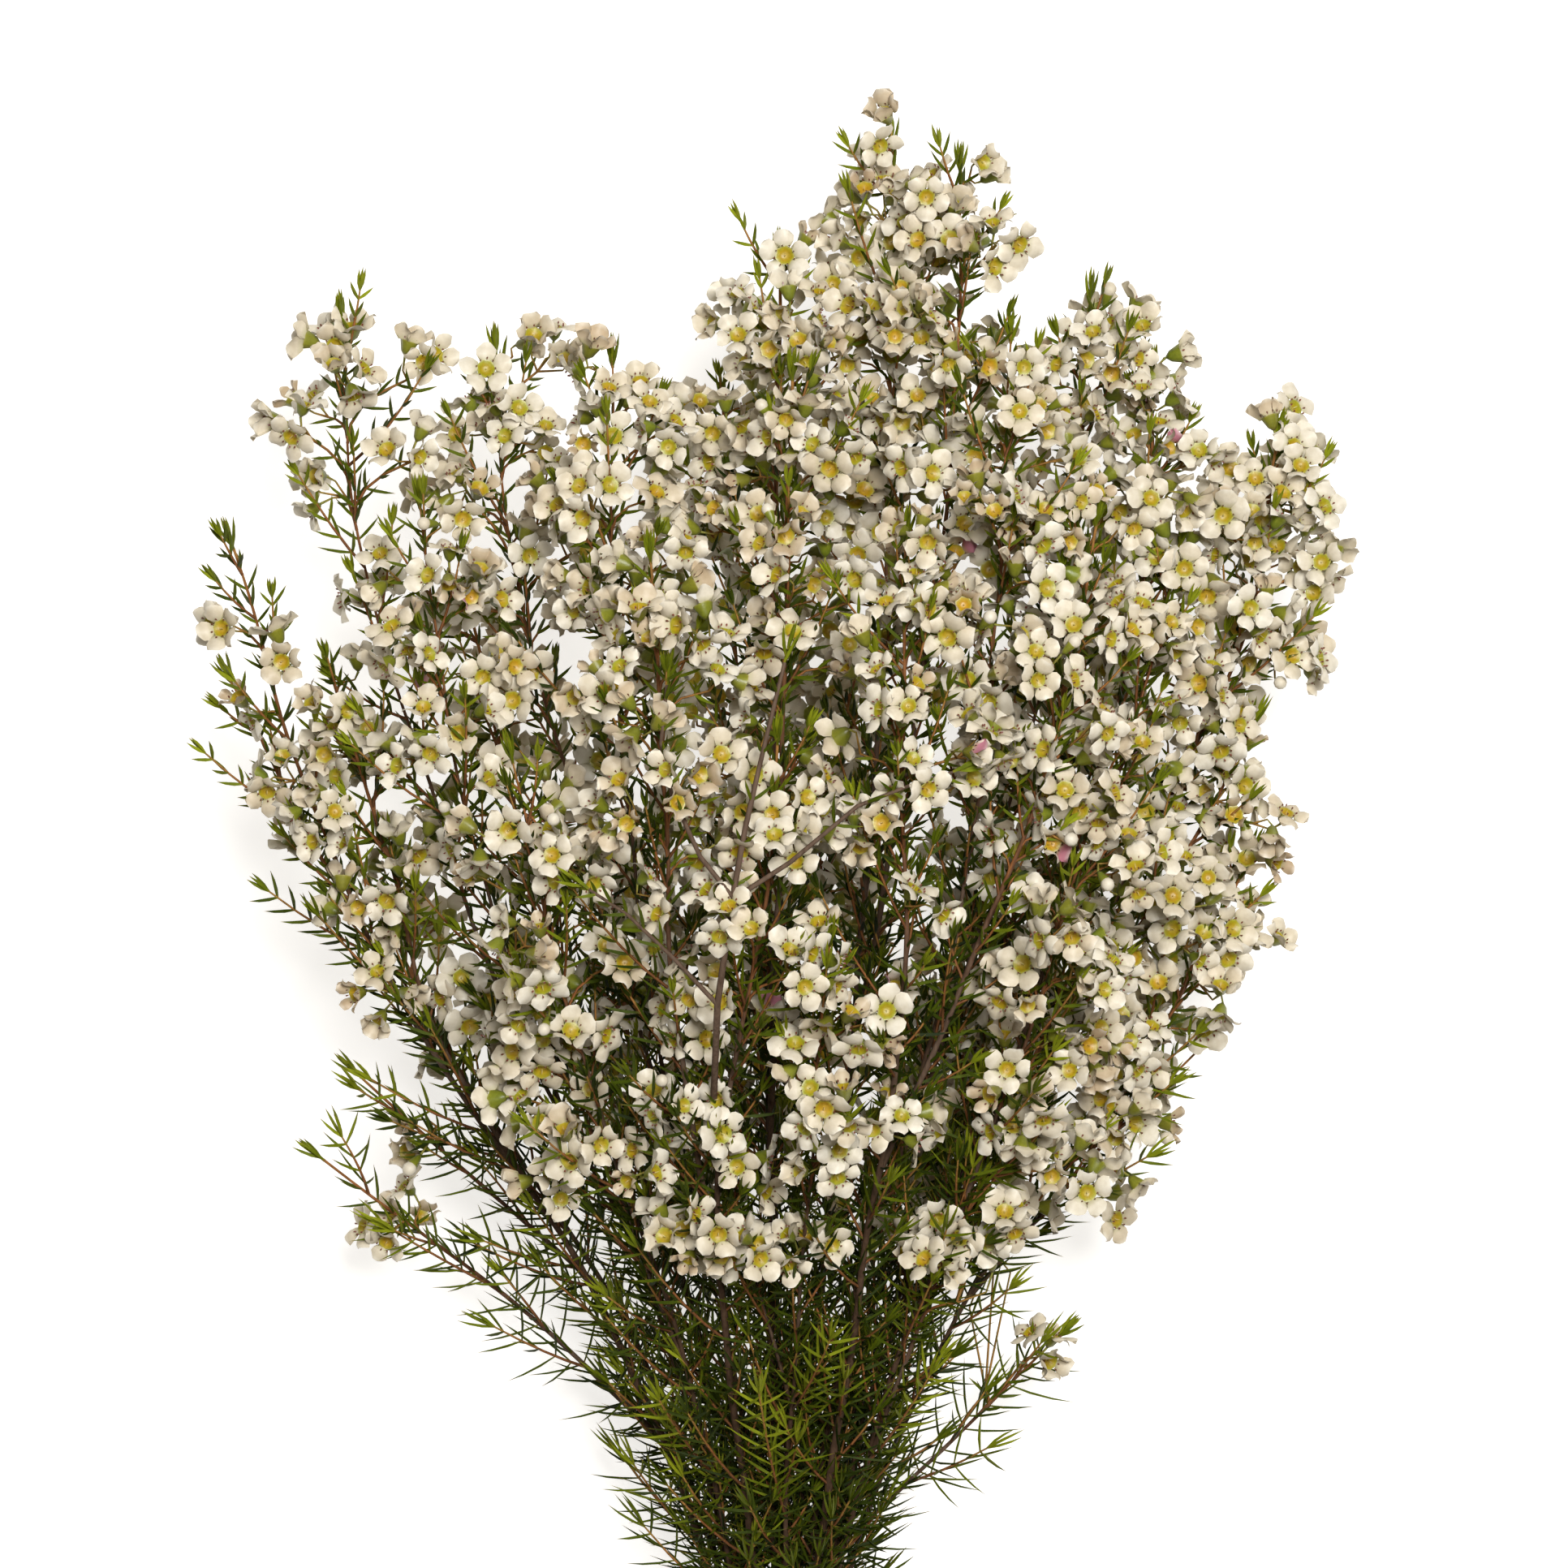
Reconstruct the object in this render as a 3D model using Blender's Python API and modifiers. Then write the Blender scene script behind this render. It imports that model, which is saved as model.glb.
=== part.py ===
"""A banded bunch of cut waxflower stems, lying on its back on a flat surface.

+Y runs from the cut ends to the tips, +X across the bunch and +Z up from the surface.
Lengths in this file are in millimetres, and MM turns them into Blender's metres.

Each cut stem is one green solid: its branches, with needle leaves sunk into them. Each of its
flowering sprays is one white solid: a slim twig beside the green branch, with pedicels that
open into five-petalled blooms. The blooms are larger and fewer than on the plant, so that they
still cover the bunch. A rubber band holds the neck, and its lowest facet is a flat resting spot.
"""

import math
import random
from collections import namedtuple
from functools import partial

import bmesh
import bpy
import numpy as np
from mathutils import Matrix, Vector

MM = 0.001
SEED = 7
GOLDEN_SHARE = 0.618
GOLDEN_TURN = 2.4

# The bunch from the cut ends to the tips: place along it, half width, half height, and the
# height of its middle above the surface.
STATIONS = (
    (-335, 17, 17, 21.6),
    (-270, 17, 17, 21.6),
    (-206, 34, 27, 37),
    (-136, 62, 44, 56),
    (-76, 95, 60, 74),
    (-16, 140, 76, 90),
    (74, 180, 90, 103),
    (134, 205, 90, 103),
    (200, 215, 78, 97),
    (335, 225, 45, 86),
)
FOOT = -335
BENDS_FROM = -264
BARE_UP_TO = -236

# Stems in the neck
NECK_RADIUS = 15.2
STEM_PITCH = 6.5
PACKING_ROUNDS = 400

# The rubber band
BAND_ALONG = -270
BAND_WIDTH = 6.0
BAND_SLACK = 1.6
BAND_FACETS = 24

# Wood
FOOT_RADIUS = 2.3
BRANCH_RADIUS = 1.7
TIP_RADIUS = 0.7
WOOD_STEP = 88

# The flowering twig of a spray, beside its branch
TWIG_RADIUS = 1.0
TWIG_TIP_RADIUS = 0.8
TWIG_STEP = 44
TWIG_BEFORE_BLOOMS = 26
TWIG_SHORT_OF_TIP = 20

# A bloom, with its pedicel
PETALS = 5
BLOOM_RADIUS = 14.0
NOTCH_RADIUS = 6.6
PETAL_HALF_ANGLE = math.radians(21)
PETAL_RISE = 1.8
NOTCH_DROP = 0.6
DISH_DEPTH = 2.2
CALYX_RADIUS = 2.3
CALYX_DEPTH = 5.4
CALYX_SIDES = 3
PEDICEL_RADIUS = 0.5
PEDICEL_LEAN = 0.85
BLOOM_SPACING = 24
BLOOM_TURN = math.radians(225)
LAST_BLOOM_SHORT_OF_TIP = 3
SETTLES_UNDER = 7

# Needles
NEEDLE_RADIUS = 0.95
NEEDLE_SIDES = 3
NEEDLE_LENGTH = 21
TIP_NEEDLE_LENGTH = 15
NEEDLE_OPENING = 0.85
TUFT_OPENINGS = (0.25, 0.5)
TUFT_STEP = 3
TRUNK_NEEDLES = 4
BRANCH_NEEDLES = 1

# The room between one piece and the next, and what a crowded piece tries in turn
GAP = 0.5
BOWS = (0, 0.06, -0.06, 0.12, -0.12, 0.2, -0.2, 0.3, -0.3)
TWIG_LAYS = [
    (apart, turn)
    for apart in (0.9, 1.6, 2.6)
    for turn in (0, 0.5, -0.5, 1.0, -1.0, 1.6, -1.6)
]
BLOOM_TRIES = [
    (spacing, math.radians(nudge), short)
    for spacing in (BLOOM_SPACING, 0.7 * BLOOM_SPACING)
    for short in (1.0, 0.8, 1.2, 0.6)
    for nudge in (0, 14, -14, 28, -28, 45, -45, 65, -65)
]
NEEDLE_NUDGES = (0, 0.7, -0.7, 1.4, -1.4, 2.2, -2.2, 3.1)

Spray = namedtuple("Spray", "tip flowering spread blooms fork")

# Each stem's sprays: the tip (across, along, height), the length that flowers, how far the
# blooms stand out, their number, and where the spray's branch leaves the stem.
STEMS = {
    "crown": (
        Spray((42, 322, 92), 104, 32, 6, None),
        Spray((68, 310, 114), 98, 33, 6, -20),
    ),
    "crown_left": (
        Spray((0, 280, 98), 100, 38, 7, None),
        Spray((4, 232, 144), 98, 35, 6, -80),
    ),
    "crown_right": (
        Spray((116, 264, 94), 88, 32, 6, None),
        Spray((84, 246, 146), 100, 34, 6, -60),
    ),
    "shoulder_right": (
        Spray((140, 236, 100), 92, 25, 5, None),
        Spray((148, 172, 122), 74, 24, 4, 10),
    ),
    "shoulder_left": (
        Spray((-106, 244, 94), 92, 35, 6, None),
        Spray((-62, 238, 132), 88, 37, 6, -50),
    ),
    "far_left": (
        Spray((-164, 256, 88), 66, 32, 5, None),
        Spray((-132, 186, 126), 84, 32, 6, -40),
    ),
    "left": (
        Spray((-204, 172, 90), 60, 20, 4, None),
        Spray((-206, 122, 76), 60, 15, 3, 10),
        Spray((-166, 122, 106), 80, 27, 5, -70),
    ),
    "left_low": (
        Spray((-156, 52, 88), 70, 30, 5, None),
        Spray((-158, -26, 68), 30, 9, 1, -110),
        Spray((-172, -58, 54), 20, 14, 3, -170),
    ),
    "front_left": (
        Spray((-96, 92, 166), 84, 35, 7, None),
        Spray((-94, 14, 128), 74, 31, 5, -130),
    ),
    "front_centre": (
        Spray((-46, 164, 184), 92, 36, 6, None),
        Spray((0, 98, 192), 88, 36, 6, -90),
    ),
    "front_low": (
        Spray((18, 26, 180), 74, 34, 6, None),
        Spray((-26, -34, 148), 66, 32, 6, -150),
    ),
    "front_right": (
        Spray((46, 172, 186), 92, 36, 6, None),
        Spray((116, 178, 158), 92, 35, 6, -60),
    ),
    "front_right_low": (
        Spray((118, 96, 162), 86, 35, 7, None),
        Spray((108, 16, 132), 78, 33, 6, -120),
        Spray((74, -66, 114), 46, 23, 4, -170),
    ),
    "right": (
        Spray((186, 212, 90), 92, 34, 8, None),
        Spray((176, 106, 96), 82, 32, 6, -30),
    ),
    "right_low": (
        Spray((176, 56, 84), 76, 31, 5, None),
        Spray((156, -16, 78), 64, 27, 5, -110),
        Spray((106, -126, 50), 20, 10, 2, -195),
    ),
    "under_left": (
        Spray((-118, 150, 46), 108, 32, 4, None),
        Spray((-66, 44, 30), 84, 28, 4, -110),
    ),
    "under_centre": (
        Spray((-20, 228, 46), 108, 34, 4, None),
        Spray((28, 128, 28), 98, 30, 5, -60),
    ),
    "under_right": (
        Spray((118, 158, 44), 108, 32, 4, None),
        Spray((86, 44, 30), 84, 28, 4, -110),
    ),
}

# Materials: name, colour and roughness
BARK = ("bark_and_leaf", (0.20, 0.24, 0.08, 1.0), 0.65)
PETAL = ("petal", (0.90, 0.87, 0.78, 1.0), 0.50)
RUBBER = ("rubber", (0.62, 0.42, 0.22, 1.0), 0.60)


# The shape of the bunch


def section(along):
    """Half width, half height and middle height of the bunch at this place along it."""
    rows = np.array(STATIONS, float)
    places_along, values = rows[:, 0], rows[:, 1:]
    slopes = np.gradient(values, places_along, axis=0)
    at = min(max(along, places_along[0]), places_along[-1])
    last = len(places_along) - 2
    i = int(np.clip(np.searchsorted(places_along, at) - 1, 0, last))
    span = places_along[i + 1] - places_along[i]
    t = (at - places_along[i]) / span
    return (
        (2 * t**3 - 3 * t**2 + 1) * values[i]
        + (t**3 - 2 * t**2 + t) * span * slopes[i]
        + (3 * t**2 - 2 * t**3) * values[i + 1]
        + (t**3 - t**2) * span * slopes[i + 1]
    )


def share_of(point):
    """Where a point lies in the bunch's cross-section: its shares of the half width and height."""
    half_width, half_height, middle = section(point[1])
    return np.array((point[0] / half_width, (point[2] - middle) / half_height))


def place_of(share, along):
    """The point with this share of the cross-section at this place along the bunch."""
    half_width, half_height, middle = section(along)
    return Vector((share[0] * half_width, along, middle + share[1] * half_height))


def neck_shares():
    """Each stem's share of the neck, on its sprays' side and clear of the other stems."""
    spots = []
    for sprays in STEMS.values():
        mean = np.mean([share_of(spray.tip) for spray in sprays], axis=0)
        spots.append(mean / max(1.0, np.linalg.norm(mean)) * NECK_RADIUS)
    spots = np.array(spots)
    for _ in range(PACKING_ROUNDS):
        for i in range(len(spots)):
            for j in range(i):
                apart = spots[i] - spots[j]
                distance = max(np.linalg.norm(apart), 0.1)
                if distance < STEM_PITCH:
                    push = apart / distance * (STEM_PITCH - distance) * 0.5
                    spots[i] += push
                    spots[j] -= push
        reach = np.linalg.norm(spots, axis=1, keepdims=True)
        spots *= np.minimum(1.0, NECK_RADIUS / np.maximum(reach, 0.1))
    half_width, half_height, _ = section(BAND_ALONG)
    return dict(zip(STEMS, spots / (half_width, half_height)))


def places(first, last, step):
    """Even places from first to last, no more than step apart."""
    count = max(1, math.ceil((last - first) / step))
    return [first + (last - first) * i / count for i in range(count + 1)]


# Growth: where every branch, twig, bloom and needle goes


class Line:
    """A run of wood with a knot at each of its places along the bunch."""

    def __init__(self, knots, point_at, radius_at):
        self.knots = knots
        self.points = [point_at(along) for along in knots]
        self.radii = [radius_at(along) for along in knots]

    def point(self, along):
        return Vector([np.interp(along, self.knots, axis) for axis in zip(*self.points)])

    def radius(self, along):
        return float(np.interp(along, self.knots, self.radii))

    def tangent(self, along):
        return (self.point(along + 4) - self.point(along - 4)).normalized()

    def outward(self, along):
        """Away from the middle of the bunch, leaning to the upper side except underneath."""
        share = share_of(self.point(along))
        lean = 0.5 if share[1] > -0.35 else 0.0
        way = Vector((share[0] * 0.35, 0.0, share[1] + lean)).normalized()
        tangent = self.tangent(along)
        return (way - tangent * way.dot(tangent)).normalized()

    def rods(self):
        return list(zip(self.points, self.points[1:], self.radii))


def branch_line(spray, start_share, thick, bow):
    """The green branch to a spray's tip, from the foot or from where it forks."""
    trunk = spray.fork is None
    start = BENDS_FROM if trunk else spray.fork
    tip, end_share = spray.tip[1], share_of(spray.tip)
    start_share = np.array(start_share)
    aside = np.array((start_share[1] - end_share[1], end_share[0] - start_share[0]))

    def reach(along):
        return min(max((along - start) / (tip - start), 0.0), 1.0)

    def point_at(along):
        t = reach(along)
        bend = t * t * (3 - 2 * t) if trunk else math.sin(t * math.pi / 2)
        share = start_share * (1 - bend) + end_share * bend
        return place_of(share + aside * bow * math.sin(math.pi * t), along)

    def radius_at(along):
        return thick + (TIP_RADIUS - thick) * reach(along)

    knots = places(start, tip, WOOD_STEP)
    if trunk:
        knots.insert(0, FOOT)
    return Line(knots, point_at, radius_at)


def twig_line(spray, branch, apart, turn):
    """The flowering twig of a spray, beside the green branch."""
    first = spray.tip[1] - spray.flowering - TWIG_BEFORE_BLOOMS
    last = spray.tip[1] - TWIG_SHORT_OF_TIP

    def point_at(along):
        beside = branch.radius(along) + TWIG_RADIUS + apart
        turned = Matrix.Rotation(turn, 3, branch.tangent(along))
        return branch.point(along) + turned @ branch.outward(along) * beside

    def radius_at(along):
        t = (along - first) / (last - first)
        return TWIG_RADIUS + (TWIG_TIP_RADIUS - TWIG_RADIUS) * t

    return Line(places(first, last, TWIG_STEP), point_at, radius_at)


class Room:
    """The space already taken up: rods with round ends, and the piece that each belongs to."""

    def __init__(self):
        self.rows = np.zeros((0, 8))

    def take(self, rods, owner):
        rows = [(*start, *end, radius, owner) for start, end, radius in rods]
        self.rows = np.vstack((self.rows, rows))

    def free(self, rods, owner):
        """Whether these rods keep their gap to every other piece."""
        starts = np.array([start for start, _, _ in rods])
        ends = np.array([end for _, end, _ in rods])
        radii = [radius for _, _, radius in rods]
        low, high = np.minimum(starts, ends).min(0), np.maximum(starts, ends).max(0)
        reach = self.rows[:, 6:7] + max(radii) + GAP
        near = (np.minimum(self.rows[:, :3], self.rows[:, 3:6]) - reach < high).all(1)
        near &= (np.maximum(self.rows[:, :3], self.rows[:, 3:6]) + reach > low).all(1)
        near &= self.rows[:, 7] != owner
        rows = self.rows[near]
        for start, end, radius in zip(starts, ends, radii):
            distance = rod_distances(start, end, rows[:, :3], rows[:, 3:6])
            if (distance < rows[:, 6] + radius + GAP).any():
                return False
        return True


def rod_distances(start, end, starts, ends):
    """The shortest distance from one segment to each of many."""
    tiny = 1e-9
    run, runs, offset = end - start, ends - starts, start - starts
    a = run @ run + tiny
    e = np.einsum("ij,ij->i", runs, runs) + tiny
    b, c = runs @ run, offset @ run
    f = np.einsum("ij,ij->i", runs, offset)
    spread = np.maximum(a * e - b * b, tiny)
    s = np.clip((b * f - c * e) / spread, 0, 1)
    t = np.clip((b * s + f) / e, 0, 1)
    s = np.clip((b * t - c) / a, 0, 1)
    return np.linalg.norm(offset + s[:, None] * run - t[:, None] * runs, axis=1)


def first_with_room(makers, owner, room):
    """Of these ways to lay a line, the first that keeps its gap to all other pieces."""
    for make in makers:
        line = make()
        if room.free(line.rods(), owner):
            break
    room.take(line.rods(), owner)
    return line


class Bloom:
    """A five-petalled bloom on a pedicel that starts inside its spray's twig."""

    def __init__(self, root, centre, facing, spin):
        self.root, self.centre, self.facing = root, centre, facing.normalized()
        side = self.facing.cross(Vector((0.31, 0.87, 0.39))).normalized()
        self.across = Matrix.Rotation(spin, 3, self.facing) @ side
        self.beside = self.facing.cross(self.across)
        lowest = self.lowest()
        if lowest < SETTLES_UNDER:
            self.centre = self.centre - Vector((0, 0, lowest))

    def rim_point(self, angle, radius, rise):
        flat = self.across * math.cos(angle) + self.beside * math.sin(angle)
        return self.centre + flat * radius + self.facing * rise

    def rim(self):
        """The petals' outline: two points on each petal's end and one in each notch."""
        points = []
        for petal in range(PETALS):
            middle = petal * math.tau / PETALS
            for turn in (-PETAL_HALF_ANGLE, PETAL_HALF_ANGLE):
                points.append(self.rim_point(middle + turn, BLOOM_RADIUS, PETAL_RISE))
            notch = middle + math.pi / PETALS
            points.append(self.rim_point(notch, NOTCH_RADIUS, -NOTCH_DROP))
        return points

    def lowest(self):
        return min(point.z for point in self.rim())

    def rods(self):
        """The bloom's room: the pedicel as it widens, the calyx, and the petals."""
        calyx = self.centre - self.facing * CALYX_DEPTH
        low, high = self.root.lerp(calyx, 0.25), self.root.lerp(calyx, 0.6)
        found = [(self.root, low, 0.8), (low, high, 1.4), (high, calyx, 2.2)]
        found.append((calyx, self.centre, 3.4))
        for petal in range(PETALS):
            middle = petal * math.tau / PETALS
            inner = self.rim_point(middle, 6.0, 0.2)
            outer = self.rim_point(middle, 10.4, 1.0)
            found.append((inner, outer, 3.9))
        return found


class Needle:
    """A needle leaf, from its root inside the wood to its point."""

    def __init__(self, root, tip):
        self.root, self.tip = root, tip

    def rods(self):
        return [(self.root, self.tip, NEEDLE_RADIUS)]


class Growth:
    """One spray as it grows: its branch, its flowering twig, its blooms and its needles."""

    def __init__(self, stem, number, stem_number, spray, branch):
        self.stem, self.number, self.spray, self.branch = stem, number, spray, branch
        self.green, self.white = stem_number, 100 * stem_number + number
        self.twig, self.blooms, self.needles = None, [], []

    def grow_twig(self, room):
        makers = [partial(twig_line, self.spray, self.branch, *lay) for lay in TWIG_LAYS]
        self.twig = first_with_room(makers, self.white, room)

    def grow_blooms(self, room, rng):
        """Blooms in a spiral round the outer side of the twig, each where it has room."""
        spray = self.spray
        first, last = spray.tip[1] - spray.flowering, spray.tip[1] - LAST_BLOOM_SHORT_OF_TIP
        for number in range(spray.blooms):
            share = (number + 0.5) / spray.blooms
            along = first + (last - first) * share
            turn = ((number * GOLDEN_SHARE + 0.2) % 1 - 0.5) * BLOOM_TURN
            spin = rng.uniform(0, math.tau)
            shake = Vector([rng.uniform(-0.28, 0.28) for _ in range(3)])
            fullness = 0.45 + 0.6 * math.sin(math.pi * min(share + 0.08, 1))
            stand = spray.spread * fullness * rng.uniform(0.8, 1.0)
            for spacing, nudge, short in BLOOM_TRIES:
                bloom = self.bloom(along, turn + nudge, stand * short, shake, spin)
                gaps = [(bloom.centre - other.centre).length for other in self.blooms]
                uncrowded = min(gaps, default=spacing) >= spacing
                if uncrowded and bloom.lowest() > -0.01 and room.free(bloom.rods(), self.white):
                    room.take(bloom.rods(), self.white)
                    self.blooms.append(bloom)
                    break

    def bloom(self, along, turn, stand, shake, spin):
        tangent, outward = self.branch.tangent(along), self.branch.outward(along)
        turned = Matrix.Rotation(turn, 3, tangent) @ outward
        root_along = max(along - PEDICEL_LEAN * stand, self.twig.knots[0] + TUFT_STEP)
        facing = turned * 0.6 + tangent * 0.42 + outward * 0.45 + shake
        centre = self.twig.point(along) + turned * stand
        return Bloom(self.twig.point(root_along), centre, facing, spin)

    def grow_needles(self, room, rng):
        """Needles round the branch, and a tuft that points on past its tip."""
        trunk, last = self.spray.fork is None, self.spray.tip[1]
        first = BARE_UP_TO if trunk else self.spray.fork + TIP_NEEDLE_LENGTH
        count = TRUNK_NEEDLES if trunk else BRANCH_NEEDLES
        for number in range(count):
            share = (number + rng.uniform(0.2, 0.8)) / count
            along = first + (last - TWIG_BEFORE_BLOOMS - first) * share
            length = NEEDLE_LENGTH + (TIP_NEEDLE_LENGTH - NEEDLE_LENGTH) * share
            self.add_needle(room, along, length, NEEDLE_OPENING, number)
        for number, opening in enumerate(TUFT_OPENINGS):
            along = last - 2 - TUFT_STEP * number
            self.add_needle(room, along, TIP_NEEDLE_LENGTH, opening, number)

    def add_needle(self, room, along, length, opening, number):
        """Adds a needle at the first turn round the branch where it has room."""
        tangent, outward = self.branch.tangent(along), self.branch.outward(along)
        root = self.branch.point(along)
        for nudge in NEEDLE_NUDGES:
            turned = Matrix.Rotation(number * GOLDEN_TURN + nudge, 3, tangent) @ outward
            way = (tangent + turned * opening).normalized()
            needle = Needle(root, root + way * length)
            if needle.tip.z > NEEDLE_RADIUS and room.free(needle.rods(), self.green):
                room.take(needle.rods(), self.green)
                self.needles.append(needle)
                return


def grow():
    """Every branch, then every twig, then the blooms and the needles, each in its own room."""
    room, growths = Room(), []
    shares, rng = neck_shares(), random.Random(SEED)
    for stem_number, (stem, sprays) in enumerate(STEMS.items(), 1):
        trunk = None
        for number, spray in enumerate(sprays, 1):
            share = share_of(trunk.point(spray.fork)) if trunk else shares[stem]
            thick = min(BRANCH_RADIUS, trunk.radius(spray.fork)) if trunk else FOOT_RADIUS
            makers = [partial(branch_line, spray, share, thick, bow) for bow in BOWS]
            branch = first_with_room(makers, stem_number, room)
            trunk = trunk or branch
            growths.append(Growth(stem, number, stem_number, spray, branch))
    for growth in growths:
        growth.grow_twig(room)
    for growth in growths:
        growth.grow_blooms(room, rng)
    for growth in growths:
        growth.grow_needles(room, rng)
    return growths


# Solids


def material(name, colour, roughness):
    made = bpy.data.materials.new(name)
    made.use_nodes = True
    shader = made.node_tree.nodes["Principled BSDF"]
    shader.inputs["Base Color"].default_value = colour
    shader.inputs["Roughness"].default_value = roughness
    shader.inputs["Metallic"].default_value = 0.0
    made.diffuse_color = colour
    return made


def add_object(name, mesh, collection):
    made = bpy.data.objects.new(name, mesh)
    collection.objects.link(made)
    return made


def add_shape(name, shape, collection):
    """An object from a finished bmesh."""
    mesh = bpy.data.meshes.new(name)
    shape.to_mesh(mesh)
    shape.free()
    return add_object(name, mesh, collection)


def tube(name, line, collection):
    """A closed tapered tube along a line, as a mesh."""
    curve = bpy.data.curves.new(name, "CURVE")
    curve.dimensions = "3D"
    curve.bevel_depth = 1.0
    curve.bevel_resolution = 0
    curve.use_fill_caps = True
    spline = curve.splines.new("POLY")
    spline.points.add(len(line.knots) - 1)
    for knot, point, radius in zip(spline.points, line.points, line.radii):
        knot.co = (*(point * MM), 1.0)
        knot.radius = radius * MM
    wire = add_object(name + "_curve", curve, collection)
    bpy.context.view_layer.update()
    graph = bpy.context.evaluated_depsgraph_get()
    mesh = bpy.data.meshes.new_from_object(wire.evaluated_get(graph))
    shape = bmesh.new()
    shape.from_mesh(mesh)
    bmesh.ops.remove_doubles(shape, verts=shape.verts, dist=0.00001)
    bmesh.ops.recalc_face_normals(shape, faces=shape.faces)
    made = add_shape(name, shape, collection)
    made.matrix_world = wire.matrix_world
    bpy.data.meshes.remove(mesh)
    bpy.data.objects.remove(wire)
    return made


def needle_object(name, needle, collection):
    """A slim three-sided cone."""
    way = needle.tip - needle.root
    turn = way.to_track_quat("Z", "Y").to_matrix().to_4x4()
    middle = (needle.root + needle.tip) / 2
    shape = bmesh.new()
    bmesh.ops.create_cone(
        shape,
        cap_ends=True,
        segments=NEEDLE_SIDES,
        radius1=NEEDLE_RADIUS * MM,
        radius2=0.0,
        depth=way.length * MM,
        matrix=Matrix.Translation(middle * MM) @ turn,
    )
    return add_shape(name, shape, collection)


def bloom_object(name, bloom, collection):
    """A bloom: a dished star of five petals that narrows to a calyx and a slim pedicel."""
    shape = bmesh.new()
    calyx_middle = bloom.centre - bloom.facing * CALYX_DEPTH
    way = (calyx_middle - bloom.root).normalized()
    side = (bloom.across - way * bloom.across.dot(way)).normalized()

    def ring(middle, radius, first, second):
        turns = [i * math.tau / CALYX_SIDES for i in range(CALYX_SIDES)]
        spots = [first * math.cos(turn) + second * math.sin(turn) for turn in turns]
        return [shape.verts.new((middle + spot * radius) * MM) for spot in spots]

    dish = shape.verts.new((bloom.centre - bloom.facing * DISH_DEPTH) * MM)
    rim = [shape.verts.new(point * MM) for point in bloom.rim()]
    calyx = ring(calyx_middle, CALYX_RADIUS, bloom.across, bloom.beside)
    root = ring(bloom.root, PEDICEL_RADIUS, side, way.cross(side))
    count = len(rim)
    for i in range(count):
        after = rim[(i + 1) % count]
        shape.faces.new((dish, rim[i], after))
        shape.faces.new((after, rim[i], calyx[i * CALYX_SIDES // count]))
    for i in range(CALYX_SIDES):
        after = (i + 1) % CALYX_SIDES
        shape.faces.new((calyx[i], calyx[after], rim[after * count // CALYX_SIDES]))
        shape.faces.new((calyx[after], calyx[i], root[i], root[after]))
    shape.faces.new(root[::-1])
    bmesh.ops.recalc_face_normals(shape, faces=shape.faces)
    bmesh.ops.triangulate(shape, faces=shape.faces)
    return add_shape(name, shape, collection)


def fuse(base, repeats, finish, collection):
    """Joins the repeats to their base in one solid."""
    joined = bpy.data.collections.new(base.name + "_repeats")
    bpy.context.scene.collection.children.link(joined)
    for piece in repeats:
        collection.objects.unlink(piece)
        joined.objects.link(piece)
    union = base.modifiers.new("union", "BOOLEAN")
    union.operation = "UNION"
    union.operand_type = "COLLECTION"
    union.collection = joined
    union.solver = "MANIFOLD"
    bpy.context.view_layer.update()
    graph = bpy.context.evaluated_depsgraph_get()
    mesh = bpy.data.meshes.new_from_object(base.evaluated_get(graph))
    base.modifiers.clear()
    base.data = mesh
    mesh.materials.clear()
    mesh.materials.append(finish)
    for piece in list(joined.objects):
        bpy.data.objects.remove(piece)
    bpy.data.collections.remove(joined)


def rubber_band(collection, finish):
    """The band round the neck: a turned ring with a flat facet on the surface."""
    _, _, middle = section(BAND_ALONG)
    half_facet = math.pi / BAND_FACETS
    inner = NECK_RADIUS + FOOT_RADIUS + BAND_SLACK
    outer = middle / math.cos(half_facet)
    half_width = BAND_WIDTH / 2
    corners = [
        (inner, half_width),
        (outer, half_width),
        (outer, -half_width),
        (inner, -half_width),
    ]
    edges = [(i, (i + 1) % len(corners)) for i in range(len(corners))]
    points = [
        (r * math.cos(half_facet) * MM, r * math.sin(half_facet) * MM, z * MM)
        for r, z in corners
    ]
    profile = bpy.data.meshes.new("rubber_band")
    profile.from_pydata(points, edges, [])
    profile.materials.append(finish)
    band = add_object("rubber_band", profile, collection)
    screw = band.modifiers.new("turn", "SCREW")
    screw.axis = "Z"
    screw.steps = BAND_FACETS
    screw.render_steps = BAND_FACETS
    screw.use_merge_vertices = True
    screw.merge_threshold = 0.00001
    band.rotation_euler = (math.radians(90), 0, 0)
    band.location = (0, BAND_ALONG * MM, middle * MM)


def centre_over_origin(collection):
    """Moves the bunch so that its box stands on the surface with its middle over the origin."""
    bpy.context.view_layer.update()
    graph = bpy.context.evaluated_depsgraph_get()
    corners = []
    for piece in collection.objects:
        shown = piece.evaluated_get(graph)
        corners.extend(shown.matrix_world @ Vector(corner) for corner in shown.bound_box)
    low = [min(corner[axis] for corner in corners) for axis in range(3)]
    high = [max(corner[axis] for corner in corners) for axis in range(3)]
    shift = Vector(((low[0] + high[0]) / 2, (low[1] + high[1]) / 2, low[2]))
    for piece in collection.objects:
        piece.location -= shift


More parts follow.
